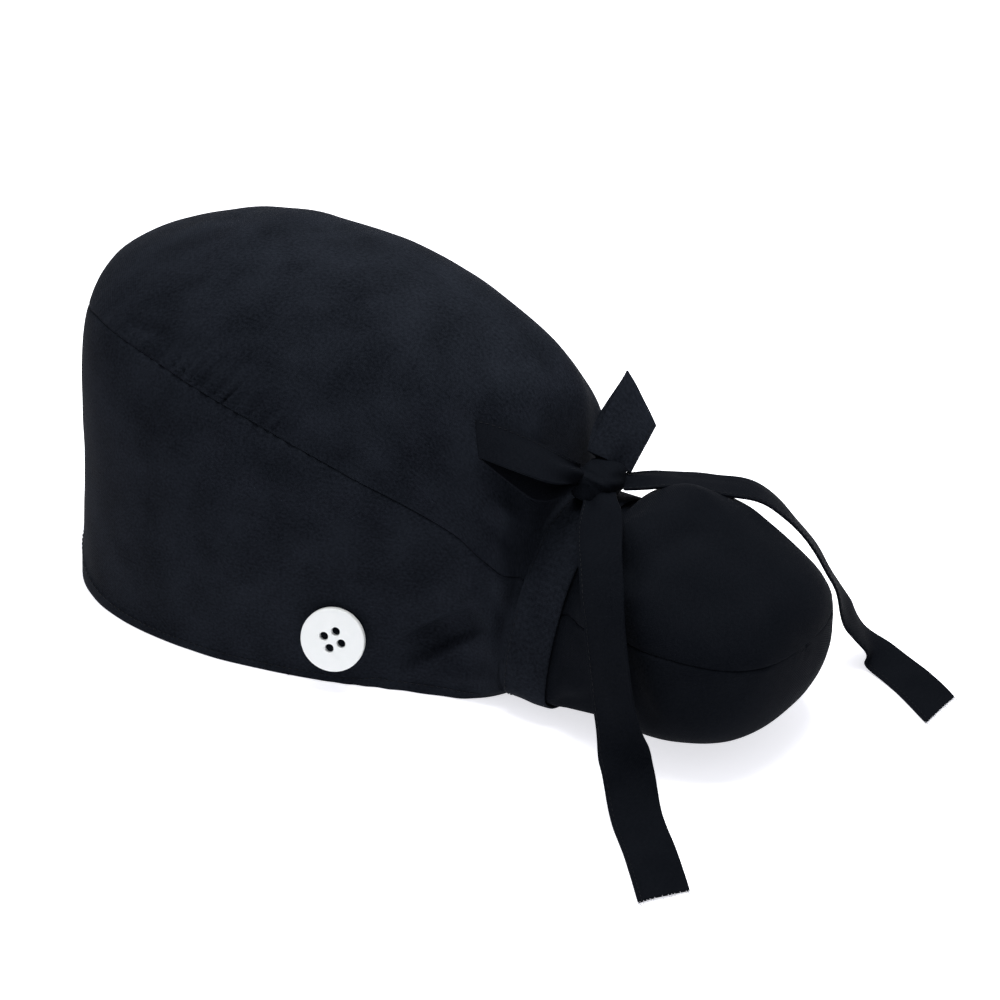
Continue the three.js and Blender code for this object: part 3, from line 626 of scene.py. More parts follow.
def cloth_material(name, depth=1.0):
    """Dyed cotton blend: near black, matt, with a low sheen on its fibres. Depth below 1 darkens its light
    tone, as painted shade for pieces of the same cloth that lie in shadow.
    """
    material, tree, shader = new_material(name, {
        "Specular IOR Level": 0.01,
        "Sheen Weight": 0.004,
        "Sheen Roughness": 0.4,
        "Sheen Tint": (0.62, 0.68, 0.85, 1),
    })
    uv = add_node(tree, "ShaderNodeUVMap", {}, uv_map="UVMap")
    weave = add_node(tree, "ShaderNodeGroup", {"Cloth UV": uv.outputs["UV"]}, node_tree=plain_weave)
    height, mottle, slub = (weave.outputs[part] for part in ("Height", "Mottle", "Slub"))

    def scaled_sum(value, scale, added):
        inputs = {0: value, 1: scale, 2: added}
        return add_node(tree, "ShaderNodeMath", inputs, operation="MULTIPLY_ADD").outputs[0]

    pattern = scaled_sum(scaled_sum(slub, 1.1, scaled_sum(height, 0.25, mottle)), 1.2, -0.88)
    blend_tones(tree, shader, pattern, DYE["dark"], [depth * c for c in DYE["light"]])
    blend_roughness(tree, shader, mottle, 0.62, 0.82)
    relief = add_node(tree, "ShaderNodeBump", {
        "Strength": WEAVE_RELIEF["strength"],
        "Distance": WEAVE_RELIEF["distance"],
        "Height": scaled_sum(slub, 0.9, height),
    })
    set_inputs(tree, shader, {"Normal": relief.outputs["Normal"]})
    return material


DYE = {"dark": (0.0022, 0.0028, 0.0042), "light": (0.0105, 0.0125, 0.0170)}
# Tone for the pouch and the tie: the same cloth as the panels, with its light tone scaled down as painted
# shade
PAINTED_SHADE_TONE = 0.42
panel_cloth = cloth_material("cotton_panel")


def finish_piece(piece, material=None, node=None):
    """Dresses a piece, fixes it to the cap and sets it in place of its solid, where it has one."""
    if material:
        piece.data.materials.clear()
        piece.data.materials.append(material)
    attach(piece, "root")
    if node:
        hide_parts(node)


def finish_cloth(piece, node, cloth):
    """Finishes a piece of cloth: dresses it, fixes it to the cap and hides its solid."""
    finish_piece(piece, cloth, node)


give_wall(crown, CLOTH_WALL)
finish_cloth(crown, "crown_panel", panel_cloth)


# Side band
# A deep band runs round the forehead and both sides and closes under the neck. Its rim is turned
# up and sewn in a narrow hem, and the cap stands on it.
HEM_HEIGHT = 4.6
STITCH_HEIGHT = HEM_HEIGHT - 0.9

band_sheet = whole_sheet(head_stations, on_table, band_edge, 66, "front")
station, up, down = band_sheet["station"], band_sheet["up"], band_sheet["down"]
rim_here = smooth((106 - station) / 8)
hem_step = 0.4 * smooth((HEM_HEIGHT - up) / 0.5) * rim_here
hem_pull = np.exp(-up / 7) * smooth((station - 30) / 40) * rim_here
hem_wave = np.sin(station * 0.62 + 2 * np.sin(station * 0.11))
stitch_groove = -0.25 * np.exp(-(((up - STITCH_HEIGHT) / 0.5) ** 2)) * rim_here
seam_pull = np.exp(-((station - 20) / 45) ** 2) * np.exp(-down / 9)
band_relief = (
    head_relief(band_sheet, 3)
    + seam_roll(down - SEAM_TUCK)
    + hem_step
    + stitch_groove
    + 0.22 * hem_pull * hem_wave
    + 0.22 * seam_pull * np.sin(1.2 * station + 1.4 * np.sin(0.33 * station))
)
band_uv = np.stack([
    np.repeat(run_back(band_sheet)[:, :1], up.shape[1], axis=1),
    band_sheet["points"][..., 2],
], axis=-1) * 0.001
band, band_weld = cloth_mesh("band_cloth", band_sheet, band_relief, band_uv)
give_wall(band, CLOTH_WALL)
finish_cloth(band, "side_band", panel_cloth)


THREAD_WIDTH = 0.00034
HEM_PITCH = 0.0026
# Share of the way from one stitch to the next that the stitch itself takes up
STITCH_SHARE = 0.74


def stitch_tree():
    """Row of short stitches along a line of edges."""
    tree, entry, leave = new_group(
        "stitch_row",
        "GeometryNodeTree",
        (
            ("Geometry", "Geometry", None),
            ("Stitch Pitch", "Float", HEM_PITCH),
            ("Stitch Length", "Float", STITCH_SHARE * HEM_PITCH),
            ("Thread Width", "Float", THREAD_WIDTH),
            ("Thread", "Material", None),
        ),
        (("Geometry", "Geometry"),),
    )
    given = entry.outputs
    line = add_node(tree, "GeometryNodeMeshToCurve", {"Mesh": given["Geometry"]})
    spacing = {"Curve": line.outputs["Curve"], "Length": given["Stitch Pitch"]}
    spaced = add_node(tree, "GeometryNodeResampleCurve", spacing, mode="LENGTH")
    stitch = add_node(tree, "GeometryNodeMeshUVSphere", {"Segments": 6, "Rings": 4, "Radius": 0.5})
    shape = add_node(tree, "ShaderNodeCombineXYZ", {
        "X": given["Thread Width"],
        "Y": given["Thread Width"],
        "Z": given["Stitch Length"],
    })
    ahead = {"Vector": add_node(tree, "GeometryNodeInputTangent", {}).outputs["Tangent"]}
    turn = add_node(tree, "FunctionNodeAlignRotationToVector", ahead, axis="Z")
    place = add_node(tree, "GeometryNodeInstanceOnPoints", {
        "Points": spaced.outputs["Curve"],
        "Instance": stitch.outputs["Mesh"],
        "Rotation": turn.outputs["Rotation"],
        "Scale": shape.outputs["Vector"],
    })
    solid = add_node(tree, "GeometryNodeRealizeInstances", {"Geometry": place.outputs["Instances"]})
    paint = add_node(tree, "GeometryNodeSetMaterial", {
        "Geometry": solid.outputs["Geometry"],
        "Material": given["Thread"],
    })
    set_inputs(tree, leave, {"Geometry": paint.outputs["Geometry"]})
    return tree


stitch_row = stitch_tree()
sewing_thread, thread_tree, thread_shader = new_material(
    "sewing_thread", {"Roughness": 0.55, "Specular IOR Level": 0.08}
)
twist = object_texture(thread_tree, "ShaderNodeTexWave", {"Scale": 900, "Distortion": 1.0})
blend_tones(thread_tree, thread_shader, twist, (0.0020, 0.0025, 0.0035), (0.0050, 0.0060, 0.0080))


def sew(name, line, pitch=HEM_PITCH):
    """Stitches along a line of points in cap millimetres, as one plain mesh."""
    edges = [(k, k + 1) for k in range(len(line) - 1)]
    guide = add_object(name + "_line", make_mesh(name + "_line", line, edges, []))
    modifier = guide.modifiers.new("stitches", "NODES")
    modifier.node_group = stitch_row
    settings = {
        "Stitch Pitch": pitch,
        "Stitch Length": STITCH_SHARE * pitch,
        "Thread Width": THREAD_WIDTH,
        "Thread": sewing_thread,
    }
    for item in stitch_row.interface.items_tree:
        if item.in_out == "INPUT" and item.name in settings:
            modifier[item.identifier] = settings[item.name]
    sewn = baked_away(guide)
    sewn.shade_smooth()
    finish_piece(add_object(name, sewn))


def welded_line(weld, pick):
    """Surface points of a panel along picked places of its sheet, lifted to where thread lies."""
    lifted, normals, where = weld
    ids = [where[i, j] for i, j in pick]
    return [lifted[k] + normals[k] * 0.12 for k in ids]


hem_picks = [
    (i, int(np.argmin(np.abs(up[i] - STITCH_HEIGHT)))) for i in range(len(station)) if station[i, 0] < 104
]
sew("hem_stitches", welded_line(band_weld, hem_picks))


# Pouch
# Two shaped pieces behind the strap hold a ponytail or bun. They are gathered into the strap and
# sewn to each other in a seam that runs low round the back.
def crossing(holds):
    """First place along the pouch where something no longer holds."""
    if holds(POUCH_END):
        return POUCH_END
    near, far = NECK_REAR, POUCH_END
    for _ in range(40):
        x = (near + far) / 2
        near, far = (x, far) if holds(x) else (near, x)
    return far


def pouch_stations(edge, is_upper):
    ridge = crossing(lambda x: cross_section(x)["top"] > edge(x))
    keel = crossing(lambda x: cross_section(x)["middle"] - cross_section(x)["deep"] < edge(x))
    stop, join = (ridge, keel) if is_upper else (keel, ridge)
    places = list(np.linspace(NECK_MIDDLE_X, NECK_REAR, 8))
    places += list(NECK_REAR + (stop - NECK_REAR) * np.sin(np.linspace(0, 1, 96)[1:] * math.pi / 2) ** 1.1)
    if join < stop:
        places = [x for x in places if x < join - 0.2] + list(np.linspace(join, stop, 8))
    return sorted(places)


# Folds of the pouch: side, start and stop in side view, width and height in millimetres
POUCH_FOLDS = (
    (-1, (152, 36), (172, 14), 10, -3.4),
    (-1, (140, 60), (168, 54), 5, 1.3),
    (-1, (166, 74), (182, 26), 6, -2.4),
    (-1, (150, 66), (178, 70), 4, 1.3),
    (-1, (150, 75), (180, 83), 4.5, -1.2),
    (-1, (138, 70), (162, 76), 4, -1.6),
    (-1, (140, 50), (158, 42), 4, -1.1),
    (0, (139, 78), (168, 88), 8, 3.4),
    (1, (140, 62), (175, 66), 6, -1.5),
    (1, (142, 40), (172, 30), 8, -2.2),
)
POUCH_RUMPLES = ((30, 0.7), (11, 0.2))


def pouch_relief(sheet, seed):
    away = np.maximum(0, sheet["station"] - NECK_REAR)
    from_middle = smooth(np.abs(sheet["points"][..., 1]) / 10)

    def mask(side):
        return (1.0 if side == 0 else (sheet["side"] == side) * from_middle) * smooth(away / 5)

    relief = gathered(sheet, False) + folded(sheet, POUCH_FOLDS, mask)
    relief = relief + rumpled(sheet, POUCH_RUMPLES, seed)
    return relief * smooth((away + 1) / 4) - 0.25


def make_pouch(name, node, is_upper, seed):
    if is_upper:
        stations = pouch_stations(crown_edge, is_upper)
        sheet = whole_sheet(stations, crown_edge, beyond_top, 52, "ridge")
        beside_seam = sheet["up"]
        round_uv = np.where(sheet["side"] < 0, -sheet["down"], sheet["down"])
    else:
        stations = pouch_stations(band_edge, is_upper)
        sheet = whole_sheet(stations, on_table, band_edge, 40, "keel")
        beside_seam = sheet["down"] - SEAM_TUCK
        round_uv = np.where(sheet["side"] < 0, sheet["up"], -sheet["up"])
    station = sheet["station"]
    fade = smooth((POUCH_END - station) / 6 + 0.3)
    relief = pouch_relief(sheet, seed) + seam_roll(beside_seam) * fade
    ripple = np.sin(station * 1.1 + 1.3 * np.sin(station * 0.4))
    relief = relief + 0.16 * ripple * np.exp(-np.abs(beside_seam) / 4) * smooth(beside_seam / 1.5)
    uv = np.stack([run_back(sheet), round_uv], axis=-1) * 0.001
    piece, _ = cloth_mesh(name, sheet, relief, uv)
    give_wall(piece, CLOTH_WALL)
    finish_cloth(piece, node, shaded_pouch_cloth)


# The pouch's cloth is the panel cloth painted darker, as painted shade
shaded_pouch_cloth = cloth_material("cotton_pouch_painted_shade", PAINTED_SHADE_TONE)
make_pouch("pouch_upper_cloth", "pouch_upper", True, 21)
make_pouch("pouch_lower_cloth", "pouch_lower", False, 21)


# Neck strap
# The tie is a folded strip, closed by a row of stitches along one edge. It goes once round the neck
# of the cap, over the gathers, and up into the knot.
STRAP = {"width": 19.0, "wall": 1.2, "gap": 0.3}
# Share of a strip's half width where its row of stitches runs
STITCH_LINE = 0.86


def neck_ring(x, distance, count):
    s = cross_section(x)
    turns = np.linspace(-math.pi / 2, 1.5 * math.pi, count, endpoint=False)
    angles = np.where(turns <= math.pi / 2, turns, math.pi - turns)
    side = np.where(turns <= math.pi / 2, -1.0, 1.0)
    across, z = section_curve(s, angles)
    ring = np.stack([np.zeros(count), side * across, z], axis=-1)
    run = np.roll(ring, -1, axis=0) - np.roll(ring, 1, axis=0)
    out = unit_rows(np.stack([np.zeros(count), -run[:, 2], run[:, 1]], axis=-1))
    out *= np.where((out * (ring - [0, 0, NECK["middle"] + 10])).sum(axis=1) < 0, -1, 1)[:, None]
    ring = ring + out * np.asarray(distance).reshape(-1, 1)
    ring[:, 0] = x + s["lean"] * ring[:, 2]
    return ring


RING_COUNT = 220
ring_turn = np.linspace(0, 2 * math.pi, RING_COUNT, endpoint=False)
profile = []
for share in np.concatenate([[-1, -0.985, -0.95, -0.9], np.linspace(-0.8, 0.8, 13), [0.9, 0.95, 0.985, 1]]):
    edge_roll = 0.55 * (1 - math.sqrt(max(0.0, 1 - abs(share) ** 14)))
    groove = 0.22 * math.exp(-(((share + STITCH_LINE) / 0.05) ** 2))
    profile.append((share, 1.0 - edge_roll - groove))
strap_rings = []
for layer in ("outer", "inner"):
    for share, lift in (profile if layer == "outer" else profile[::-1]):
        x = NECK_MIDDLE_X + share * STRAP["width"] / 2
        wave = 0.25 * np.sin(5 * ring_turn + 3 * share) + 0.18 * np.sin(13 * ring_turn - 4 * share)
        outer = STRAP["gap"] + STRAP["wall"] * lift + wave * 0.7
        inner = STRAP["gap"] + STRAP["wall"] * (1 - lift) * 0.8 + wave * 0.25
        strap_rings.append(neck_ring(x, outer if layer == "outer" else inner, RING_COUNT))
strap_points = np.array(strap_rings)
strap_count = len(strap_rings)
strap_points[..., 2] = np.maximum(strap_points[..., 2], 0.05)
STRAP_STEP = 0.25 / RING_COUNT


def ring_quads(rings, count, closed):
    """Faces between rings of points, with the last ring joined to the first if it is closed."""
    return [
        (i * count + j, i * count + (j + 1) % count,
         (i + 1) % rings * count + (j + 1) % count, (i + 1) % rings * count + j)
        for i in range(rings if closed else rings - 1)
        for j in range(count)
    ]


def grid_piece(name, points, faces, count, spot):
    """A mesh over rows of points, with a UV map in metres from each point's row and place in it."""
    mesh = make_mesh(name, points, [], faces)
    layer = mesh.uv_layers.new(name="UVMap")
    for face in mesh.polygons:
        closing = max(v % count for v in face.vertices) - min(v % count for v in face.vertices) > 1
        for loop, vertex in zip(face.loop_indices, face.vertices):
            i, j = divmod(vertex, count)
            layer.data[loop].uv = spot(i, count if closing and j == 0 else j)
    mesh.shade_smooth()
    return add_object(name, mesh)


def face_outwards(mesh, weld=False):
    """Turns a mesh's faces outwards, after welding points that coincide if that is asked."""
    work = bmesh.new()
    work.from_mesh(mesh)
    if weld:
        bmesh.ops.remove_doubles(work, verts=work.verts, dist=1e-6)
    bmesh.ops.recalc_face_normals(work, faces=work.faces)
    work.to_mesh(mesh)
    work.free()


strap = grid_piece(
    "strap_cloth",
    strap_points,
    ring_quads(strap_count, RING_COUNT, True),
    RING_COUNT,
    lambda i, j: (strap_points[i, j % RING_COUNT, 0] * 0.001, j * STRAP_STEP),
)
face_outwards(strap.data)
finish_cloth(strap, "neck_strap", panel_cloth)
stitch_x = NECK_MIDDLE_X - STITCH_LINE * STRAP["width"] / 2
strap_line = neck_ring(stitch_x, STRAP["gap"] + STRAP["wall"] * 0.95, 400)
sew("strap_stitches", np.concatenate([strap_line, strap_line[:1]]))


# Bow loops
# The tie is tied over the strap in a bow, and each loop is the folded strip doubled back on itself.
# One lies forward over the crown and the other stands up behind the knot, held by the knot alone.
TIE = {"width": 19.0, "wall": 1.0}
LOOP = {"lift": 7.0, "root": 0.35}
TIE_PITCH = 0.0024
# The tie's ends, left loop and knot have the panel cloth painted darker, as painted shade
shaded_tie_cloth = cloth_material("cotton_tie_painted_shade", PAINTED_SHADE_TONE)


def unit(v):
    v = np.asarray(v, float)
    return v / np.linalg.norm(v)


def knot_exit(way, tucked=0.0):
    """Where a strip leaves the knot, or starts inside it by a tucked length."""
    power = KNOT_SQUARE / (KNOT_SQUARE - 1)
    reach = (np.abs(way * KNOT_SIZE / 2) ** power).sum() ** (1 / power)
    return knot_centre + way * (reach + 0.3 - tucked)


def ribbon(name, stops, pinch, seed):
    """Folded strip along stops of point, face, width and skew, with rolled edges and a gathered root."""
    points = np.array([s["point"] for s in stops])
    ahead = np.concatenate([points[1:], points[-1:]])
    behind = np.concatenate([points[:1], points[:-1]])
    run = unit_rows(ahead - behind)
    faces = np.array([unit(s["face"]) for s in stops])
    across = unit_rows(np.array([s.get("across", np.cross(r, f)) for s, r, f in zip(stops, run, faces)]))
    out = unit_rows(np.cross(across, run))
    lengths = np.concatenate([[0], np.cumsum(np.linalg.norm(np.diff(points, axis=0), axis=1))])
    edge = np.array((STITCH_LINE, 0.92, 0.97, 1))
    shares = np.concatenate([-edge[::-1], np.linspace(-0.75, 0.75, 11), edge])
    rows = []
    for i, stop in enumerate(stops):
        half = stop["width"] / 2
        row = []
        for share in shares:
            fold = pinch[i] * math.cos(2.6 * math.pi * share * 0.5 + 0.6) * (1 - 0.3 * abs(share))
            bow = 0.35 * (1 - share * share)
            ruffle = 0.3 * noise.noise(Vector((lengths[i] / 14, share * 1.2 + seed, seed)))
            p = points[i] + across[i] * half * share + out[i] * (fold + bow + ruffle)
            p = p + np.asarray(stop.get("skew", (0, 0, 0))) * half * share
            row.append(p)
        rows.append(row)
    grid = np.array(rows)
    grid[..., 2] = np.maximum(grid[..., 2], TIE["wall"] / 2 + 0.05)
    count = len(shares)
    quads = [
        (i * count + j, (i + 1) * count + j, (i + 1) * count + j + 1, i * count + j + 1)
        for i in range(len(stops) - 1)
        for j in range(count - 1)
    ]
    piece = grid_piece(
        name, grid, quads, count, lambda i, j: (shares[j] * TIE["width"] / 2000, lengths[i] * 0.001)
    )
    give_wall(piece, TIE["wall"] * 0.001, offset=0.0)
    bevel = piece.modifiers.new("soft_edge", "BEVEL")
    bevel.width = 0.0003
    bevel.segments = 2
    bevel.limit_method = "ANGLE"
    bevel.angle_limit = math.radians(50)
    apply_modifiers(piece)
    face_outwards(piece.data)
    return piece, grid, grid[:, -len(edge)] + out * (TIE["wall"] / 2 + 0.08)


def loop_stops(tip, face, arch, skew, root_share, tip_share, spread, sag, peek, flare, steps=72):
    towards = unit(tip - knot_centre)
    begin = knot_exit(towards, 2.0)
    length = np.linalg.norm(tip - begin)
    out = unit(np.asarray(face) - towards * np.dot(face, towards))
    stops = []
    for i in range(steps + 1):
        turn = math.pi * i / steps
        height = max(0.0, math.sin(turn))
        reach = height**0.85
        opened = spread / 2 * math.cos(turn) * mix(LOOP["root"], 1, height**0.6)
        lift = opened + arch * math.sin(math.pi * reach * 0.9)
        hang = math.sin(math.pi * reach)
        fall = np.array(sag) * hang + np.array(peek) * hang * max(0.0, -math.cos(turn))
        width = mix(root_share, 1, float(smooth(reach / 0.6))) * mix(1, tip_share, reach**3)
        tilt = flare * hang * max(0.0, math.cos(turn))
        stops.append({
            "point": begin + towards * length * reach + out * lift + fall,
            "face": out * math.cos(turn) + towards * math.sin(turn),
            "width": TIE["width"] * width,
            "across": np.cross(towards, out) * math.cos(tilt) + out * math.sin(tilt),
            "skew": towards * skew * reach**2,
        })
    return stops


def cloth_spot(x, angle, side):
    """A point of the cap's outer face and the way out from it."""
    def at(dx, da):
        s = cross_section(x + dx)
        across, z = section_curve(s, np.array([angle + da]))
        return np.array([x + dx + s["lean"] * z[0], side * across[0] + s["sway"], z[0]])
    normal = np.cross(at(1, 0) - at(-1, 0), at(0, 0.01) - at(0, -0.01))
    return at(0, 0), unit(normal) * (1 if side < 0 else -1)


left_spot, left_out = cloth_spot(HEAD["front"] + 0.9 * HEAD["length"], math.radians(47), -1)
LOOPS = {
    "left": {
        "tip": left_spot + left_out * LOOP["lift"],
        "face": (0.5, -0.45, 0.74), "arch": 10.0, "skew": 0.2, "root_share": 0.45, "tip_share": 0.75,
        "spread": 6.0, "sag": (1.3, -1.9, -4.3), "peek": (1.3, -1.9, -4.4), "flare": -0.4,
    },
    "right": {
        "tip": knot_centre + unit((0.01, 0.76, 0.65)) * 36,
        "face": (0.5, -0.72, 0.47), "arch": 0.0, "skew": -0.75, "root_share": 0.95, "tip_share": 1.0,
        "spread": 6.0, "sag": (0, 0, 0), "peek": (-2.0, -1.4, 0), "flare": 0.0,
    },
}
# The left loop gets the tie's cloth with painted shade, and the right loop the plain panel cloth
for side, cut_length, cloth, seed in (("left", 0.108, shaded_tie_cloth, 4.0), ("right", 0.075, panel_cloth, 9.0)):
    stops = loop_stops(**LOOPS[side])
    reach = np.sin(np.linspace(0, math.pi, len(stops)))
    piece, _, stitches = ribbon(f"bow_loop_{side}_cloth", stops, 1.5 * (1 - smooth(reach / 0.55)), seed)
    finish_cloth(piece, f"bow_loop_{side}", cloth)
    sew(f"bow_loop_{side}_stitches", stitches, TIE_PITCH)


# Free ends of the tie
# The tie's two ends are the same folded strip, cut off plainly with a few threads left loose. They
# run from the knot over the pouch, one on each side, and down on to the table.
def smooth_path(points, steps):
    """Even-tension curve through points, the same as the solid's."""
    points = np.array(points, float)
    last = len(points) - 1
    path = []
    for k in range(steps + 1):
        place = k / steps * last
        i = min(last - 1, int(place))
        w = place - i
        p1, p2 = points[i], points[i + 1]
        p0 = points[i - 1] if i > 0 else 2 * points[0] - points[1]
        p3 = points[i + 2] if i + 2 <= last else 2 * points[last] - points[last - 1]
        d0, d1, d2 = (max(1e-4, np.linalg.norm(b - a)) ** 0.5 for a, b in ((p0, p1), (p1, p2), (p2, p3)))
        t1 = ((p1 - p0) / d0 - (p2 - p0) / (d0 + d1) + (p2 - p1) / d1) * d1
        t2 = ((p2 - p1) / d1 - (p3 - p1) / (d1 + d2) + (p3 - p2) / d2) * d1
        path.append(cubic(p1, t1, p2, t2, w))
    return np.array(path)


# Share of the way from knot to pouch end, share of the pouch's half width, share of its height,
# share of the tie's width, and the way the strip faces
NEAR_END = (
    (0.178, -0.492, 0.91, 1, (-0.4, -0.3, 0.85)),
    (0.346, -0.931, 0.81, 1, (-0.25, -0.75, 0.6)),
    (0.462, -1.166, 0.57, 1, (-0.15, -1, 0.15)),
    (0.523, -1.22, 0.33, 1, (-0.1, -1, 0.25)),
    (0.61, -1.295, 0.12, 1, (0, -0.1, 1)),
    (0.711, -1.477, 0.015, 1, (0, 0, 1)),
    (0.894, -1.808, 0, 1, (0, 0, 1)),
    (1.082, -2.183, 0, 1, (0, 0, 1)),
)
FAR_END = (
    (0.208, 0.385, 0.936, 0.9, (0.007, 0.172, 0.97)),
    (0.346, 0.631, 0.893, 1, (0.117, 0.191, 0.95)),
    (0.483, 0.883, 0.831, 1, (0.217, 0.23, 0.92)),
    (0.61, 1.07, 0.66, 1, (0.31, 0.365, 0.85)),
    (0.711, 1.198, 0.455, 1, (0.5, 0.42, 0.73)),
    (0.788, 1.316, 0.22, 1, (0.45, 0.1, 0.88)),
    (0.894, 1.445, 0.035, 1, (0, 0, 1)),
    (1.103, 1.305, 0, 1, (0, 0, 1)),
    (1.301, 1.07, 0, 1, (0, 0, 1)),
)
TIE_ENDS = {
    "near": {"rows": NEAR_END, "start": (-0.2, -0.2, 1), "cut": 0.25, "flat": (0.019, 0.18), "seed": 2.0},
    "far": {"rows": FAR_END, "start": (0, -0.1, 1), "cut": 0.65, "flat": (0.019, 0.17), "seed": 6.0},
}


def tie_stops(rows, start, steps=150):
    points, faces, widths = [], [], []
    for along, across, up, width, face in rows:
        points.append((
            mix(knot_centre[0], POUCH_END, along),
            across * POUCH["width"] / 2,
            up * POUCH["height"] + 0.6,
        ))
        faces.append(unit(face))
        widths.append(TIE["width"] * width)
    way = unit(np.array(points[0]) - knot_centre)
    points.insert(0, knot_exit(way, 3.0))
    faces.insert(0, unit(start))
    widths.insert(0, TIE["width"] * 0.65)
    path = smooth_path(points, steps)
    stops = []
    for k in range(steps + 1):
        place = k / steps * (len(points) - 1)
        i = min(len(points) - 2, int(place))
        f = float(smooth(place - i))
        stops.append({
            "point": path[k],
            "face": unit(mix(faces[i], faces[i + 1], f)),
            "width": mix(widths[i], widths[i + 1], f),
        })
    return stops


frayed = []
for name, end in TIE_ENDS.items():
    stops = tie_stops(end["rows"], end["start"])
    way = unit(stops[-1]["point"] - stops[-2]["point"])
    for back in range(8):
        stops[-1 - back]["skew"] = way * end["cut"] * (1 - back / 8)
    pinch = 1.3 * (1 - smooth(np.linspace(0, 1, len(stops)) / 0.1))
    piece, grid, stitches = ribbon(f"tie_tail_{name}_cloth", stops, pinch, end["seed"])
    finish_cloth(piece, f"tie_tail_{name}", shaded_tie_cloth)
    sew(f"tie_tail_{name}_stitches", stitches, TIE_PITCH)
    frayed.append((name, grid[-1], way))

RAW_THREADS = 14
raw_thread, _, _ = new_material("raw_thread", {"Base Color": (0.42, 0.42, 0.44, 1), "Roughness": 0.7})
for name, edge, way in frayed:
    drawn = bpy.data.curves.new(f"tie_tail_{name}_threads", "CURVE")
    drawn.dimensions = "3D"
    drawn.bevel_depth = 0.00015
    drawn.bevel_resolution = 1
    for k in range(RAW_THREADS):
        place = (k + 0.5 + 0.4 * math.sin(5 * k)) / RAW_THREADS * (len(edge) - 1)
        start = mix(edge[int(place)], edge[int(place) + 1], place - int(place))
        length = 1.1 + 1.6 * abs(math.sin(2.7 * k + 1)) + (2.2 if k % 6 == 1 else 0)
        bend = np.array((math.sin(3.1 * k), math.cos(4.3 * k), 0.5 * math.sin(1.7 * k) + 0.2))
        spline = drawn.splines.new("POLY")
        spline.points.add(5)
        for i, point in enumerate(spline.points):
            t = i / 5
            spot = start + way * length * (t - 0.15) + bend * length * 0.45 * t**2
            spot[2] = max(spot[2], 0.15)
            point.co = (*to_frame(spot), 1)
    loose = baked_away(add_object(f"tie_tail_{name}_shaper", drawn))
    finish_piece(add_object(f"tie_tail_{name}_threads", loose), raw_thread)


# Knot
# The knot is the tie's own cloth, wrapped slantwise over the crossing of its two ends and pulled
# tight. It sits on top of the strap, and its folds are drawn in where the wrap goes under.
KNOT_WRAP = unit((0.84, 0.30, -0.45))
KNOT_ACROSS = unit((-0.18, -0.62, -0.76))
KNOT_CREASE = {"depth": 0.05, "wide": 7.5, "fine": 15, "draw_in": -0.12}
KNOT_ROWS = 60
KNOT_COUNT = 96
knot_points = []
for i in range(KNOT_ROWS + 1):
    up = math.pi * (i / KNOT_ROWS - 0.5)
    for j in range(KNOT_COUNT):
        turn = 2 * math.pi * j / KNOT_COUNT
        n = np.array([math.cos(up) * math.cos(turn), math.cos(up) * math.sin(turn), math.sin(up)])
        boxy = np.sign(n) * np.abs(n) ** (2 / KNOT_SQUARE)
        along = float(n @ KNOT_WRAP)
        beside = float(n @ KNOT_ACROSS)
        wide = math.cos(KNOT_CREASE["wide"] * beside + 1.2 * along + 0.5)
        fine = math.cos(KNOT_CREASE["fine"] * beside - 3 * along)
        crease = KNOT_CREASE["depth"] * (wide + 0.45 * fine) * (1 - 0.6 * along**2)
        draw_in = KNOT_CREASE["draw_in"] * abs(along) ** 3
        knot_points.append(knot_centre + boxy * KNOT_SIZE / 2 * (1.0 + crease + draw_in))
knot = grid_piece(
    "knot_cloth",
    knot_points,
    ring_quads(KNOT_ROWS + 1, KNOT_COUNT, False),
    KNOT_COUNT,
    lambda i, j: (0.060 * j / KNOT_COUNT, 0.026 * i / KNOT_ROWS),
)
face_outwards(knot.data, weld=True)
finish_piece(knot, shaded_tie_cloth, "knot")


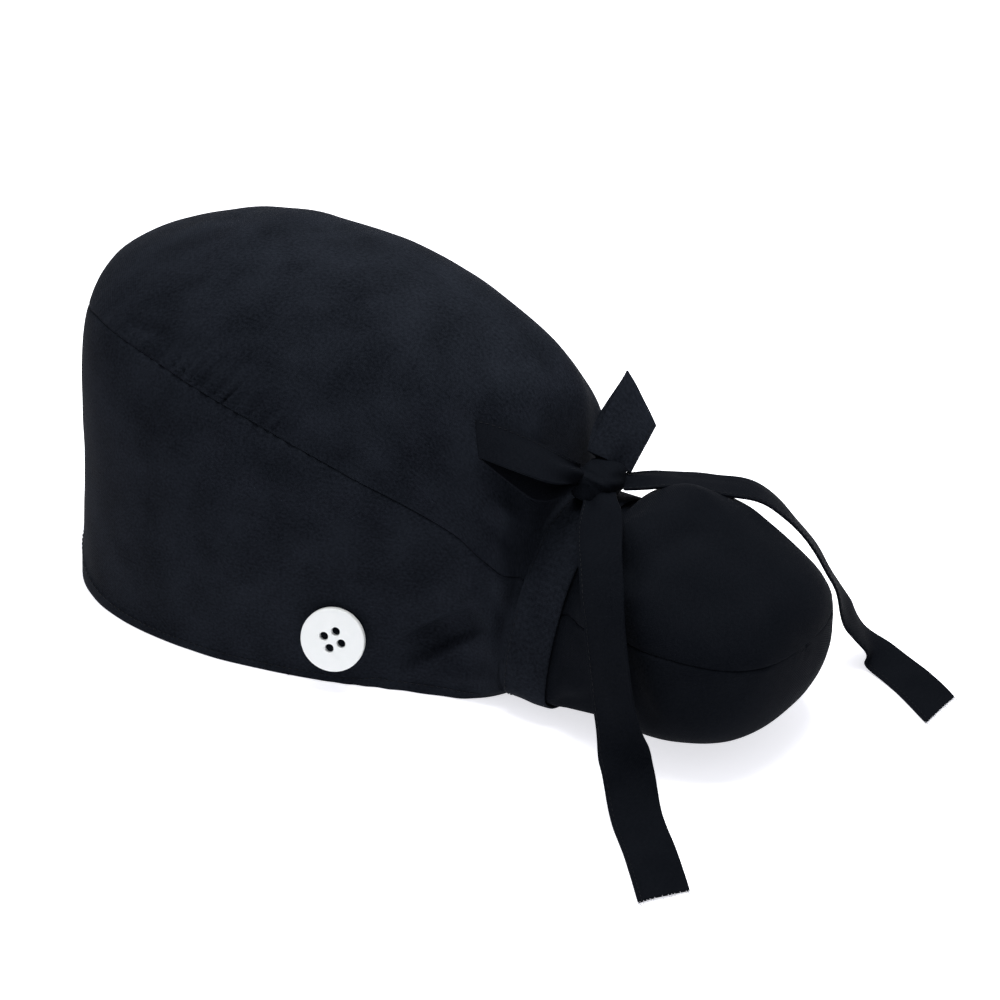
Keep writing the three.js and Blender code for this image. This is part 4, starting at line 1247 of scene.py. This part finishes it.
# Buttons
# A white resin button with four holes is sewn to each side of the band, near the rim, for the loops
# of a face mask. The one on the hidden right side is the near one's twin.
BUTTON = {"radius": 12.5, "thickness": 2.8, "hole": 1.7, "spacing": 5.1, "ease": 0.55, "turn": 1.65}
resin, resin_tree, resin_shader = new_material(
    "button_resin", {"Subsurface Weight": 0.1, "Subsurface Radius": (0.002, 0.002, 0.002)}
)
cloudy = object_texture(resin_tree, "ShaderNodeTexNoise", {"Scale": 220, "Detail": 3})
blend_tones(resin_tree, resin_shader, cloudy, (0.66, 0.68, 0.67), (0.73, 0.74, 0.73))
blend_roughness(resin_tree, resin_shader, cloudy, 0.25, 0.4)

mounts = {mount["name"]: mount for mount in frame["record"]["mounts"]}
for side in ("left", "right"):
    outline = bpy.data.curves.new(f"button_{side}_outline", "CURVE")
    outline.dimensions = "2D"
    outline.fill_mode = "BOTH"
    outline.extrude = (BUTTON["thickness"] / 2 - BUTTON["ease"]) * 0.001
    outline.bevel_depth = BUTTON["ease"] * 0.001
    outline.bevel_resolution = 4
    rounds = [(0.0, 0.0, BUTTON["radius"] - BUTTON["ease"], 96)]
    for k in range(4):
        turn = BUTTON["turn"] + k * math.pi / 2
        out = BUTTON["spacing"] / math.sqrt(2)
        rounds.append((out * math.cos(turn), out * math.sin(turn), BUTTON["hole"] + BUTTON["ease"], 32))
    for cx, cy, radius, count in rounds:
        spline = outline.splines.new("POLY")
        spline.points.add(count - 1)
        spline.use_cyclic_u = True
        for k, point in enumerate(spline.points):
            turn = 2 * math.pi * k / count
            x, y = cx + radius * math.cos(turn), cy + radius * math.sin(turn)
            point.co = (x * 0.001, y * 0.001, 0, 1)
    disc = baked_away(add_object(f"button_{side}_outline", outline))
    face_outwards(disc, weld=True)
    mount = mounts[f"button_{side}_face"]
    axis = Vector(mount["axis"]).normalized()
    turned = Vector((0, 0, 1)).rotation_difference(axis).to_matrix().to_4x4()
    centre = Vector(mount["pos_m"]) - axis * (BUTTON["thickness"] / 2000)
    disc.transform(Matrix.Translation(centre) @ turned)
    disc.name = f"button_{side}_resin"
    disc.shade_smooth()
    button = add_object(f"button_{side}_resin", disc)
    finish_piece(button, resin, f"button_{side}")
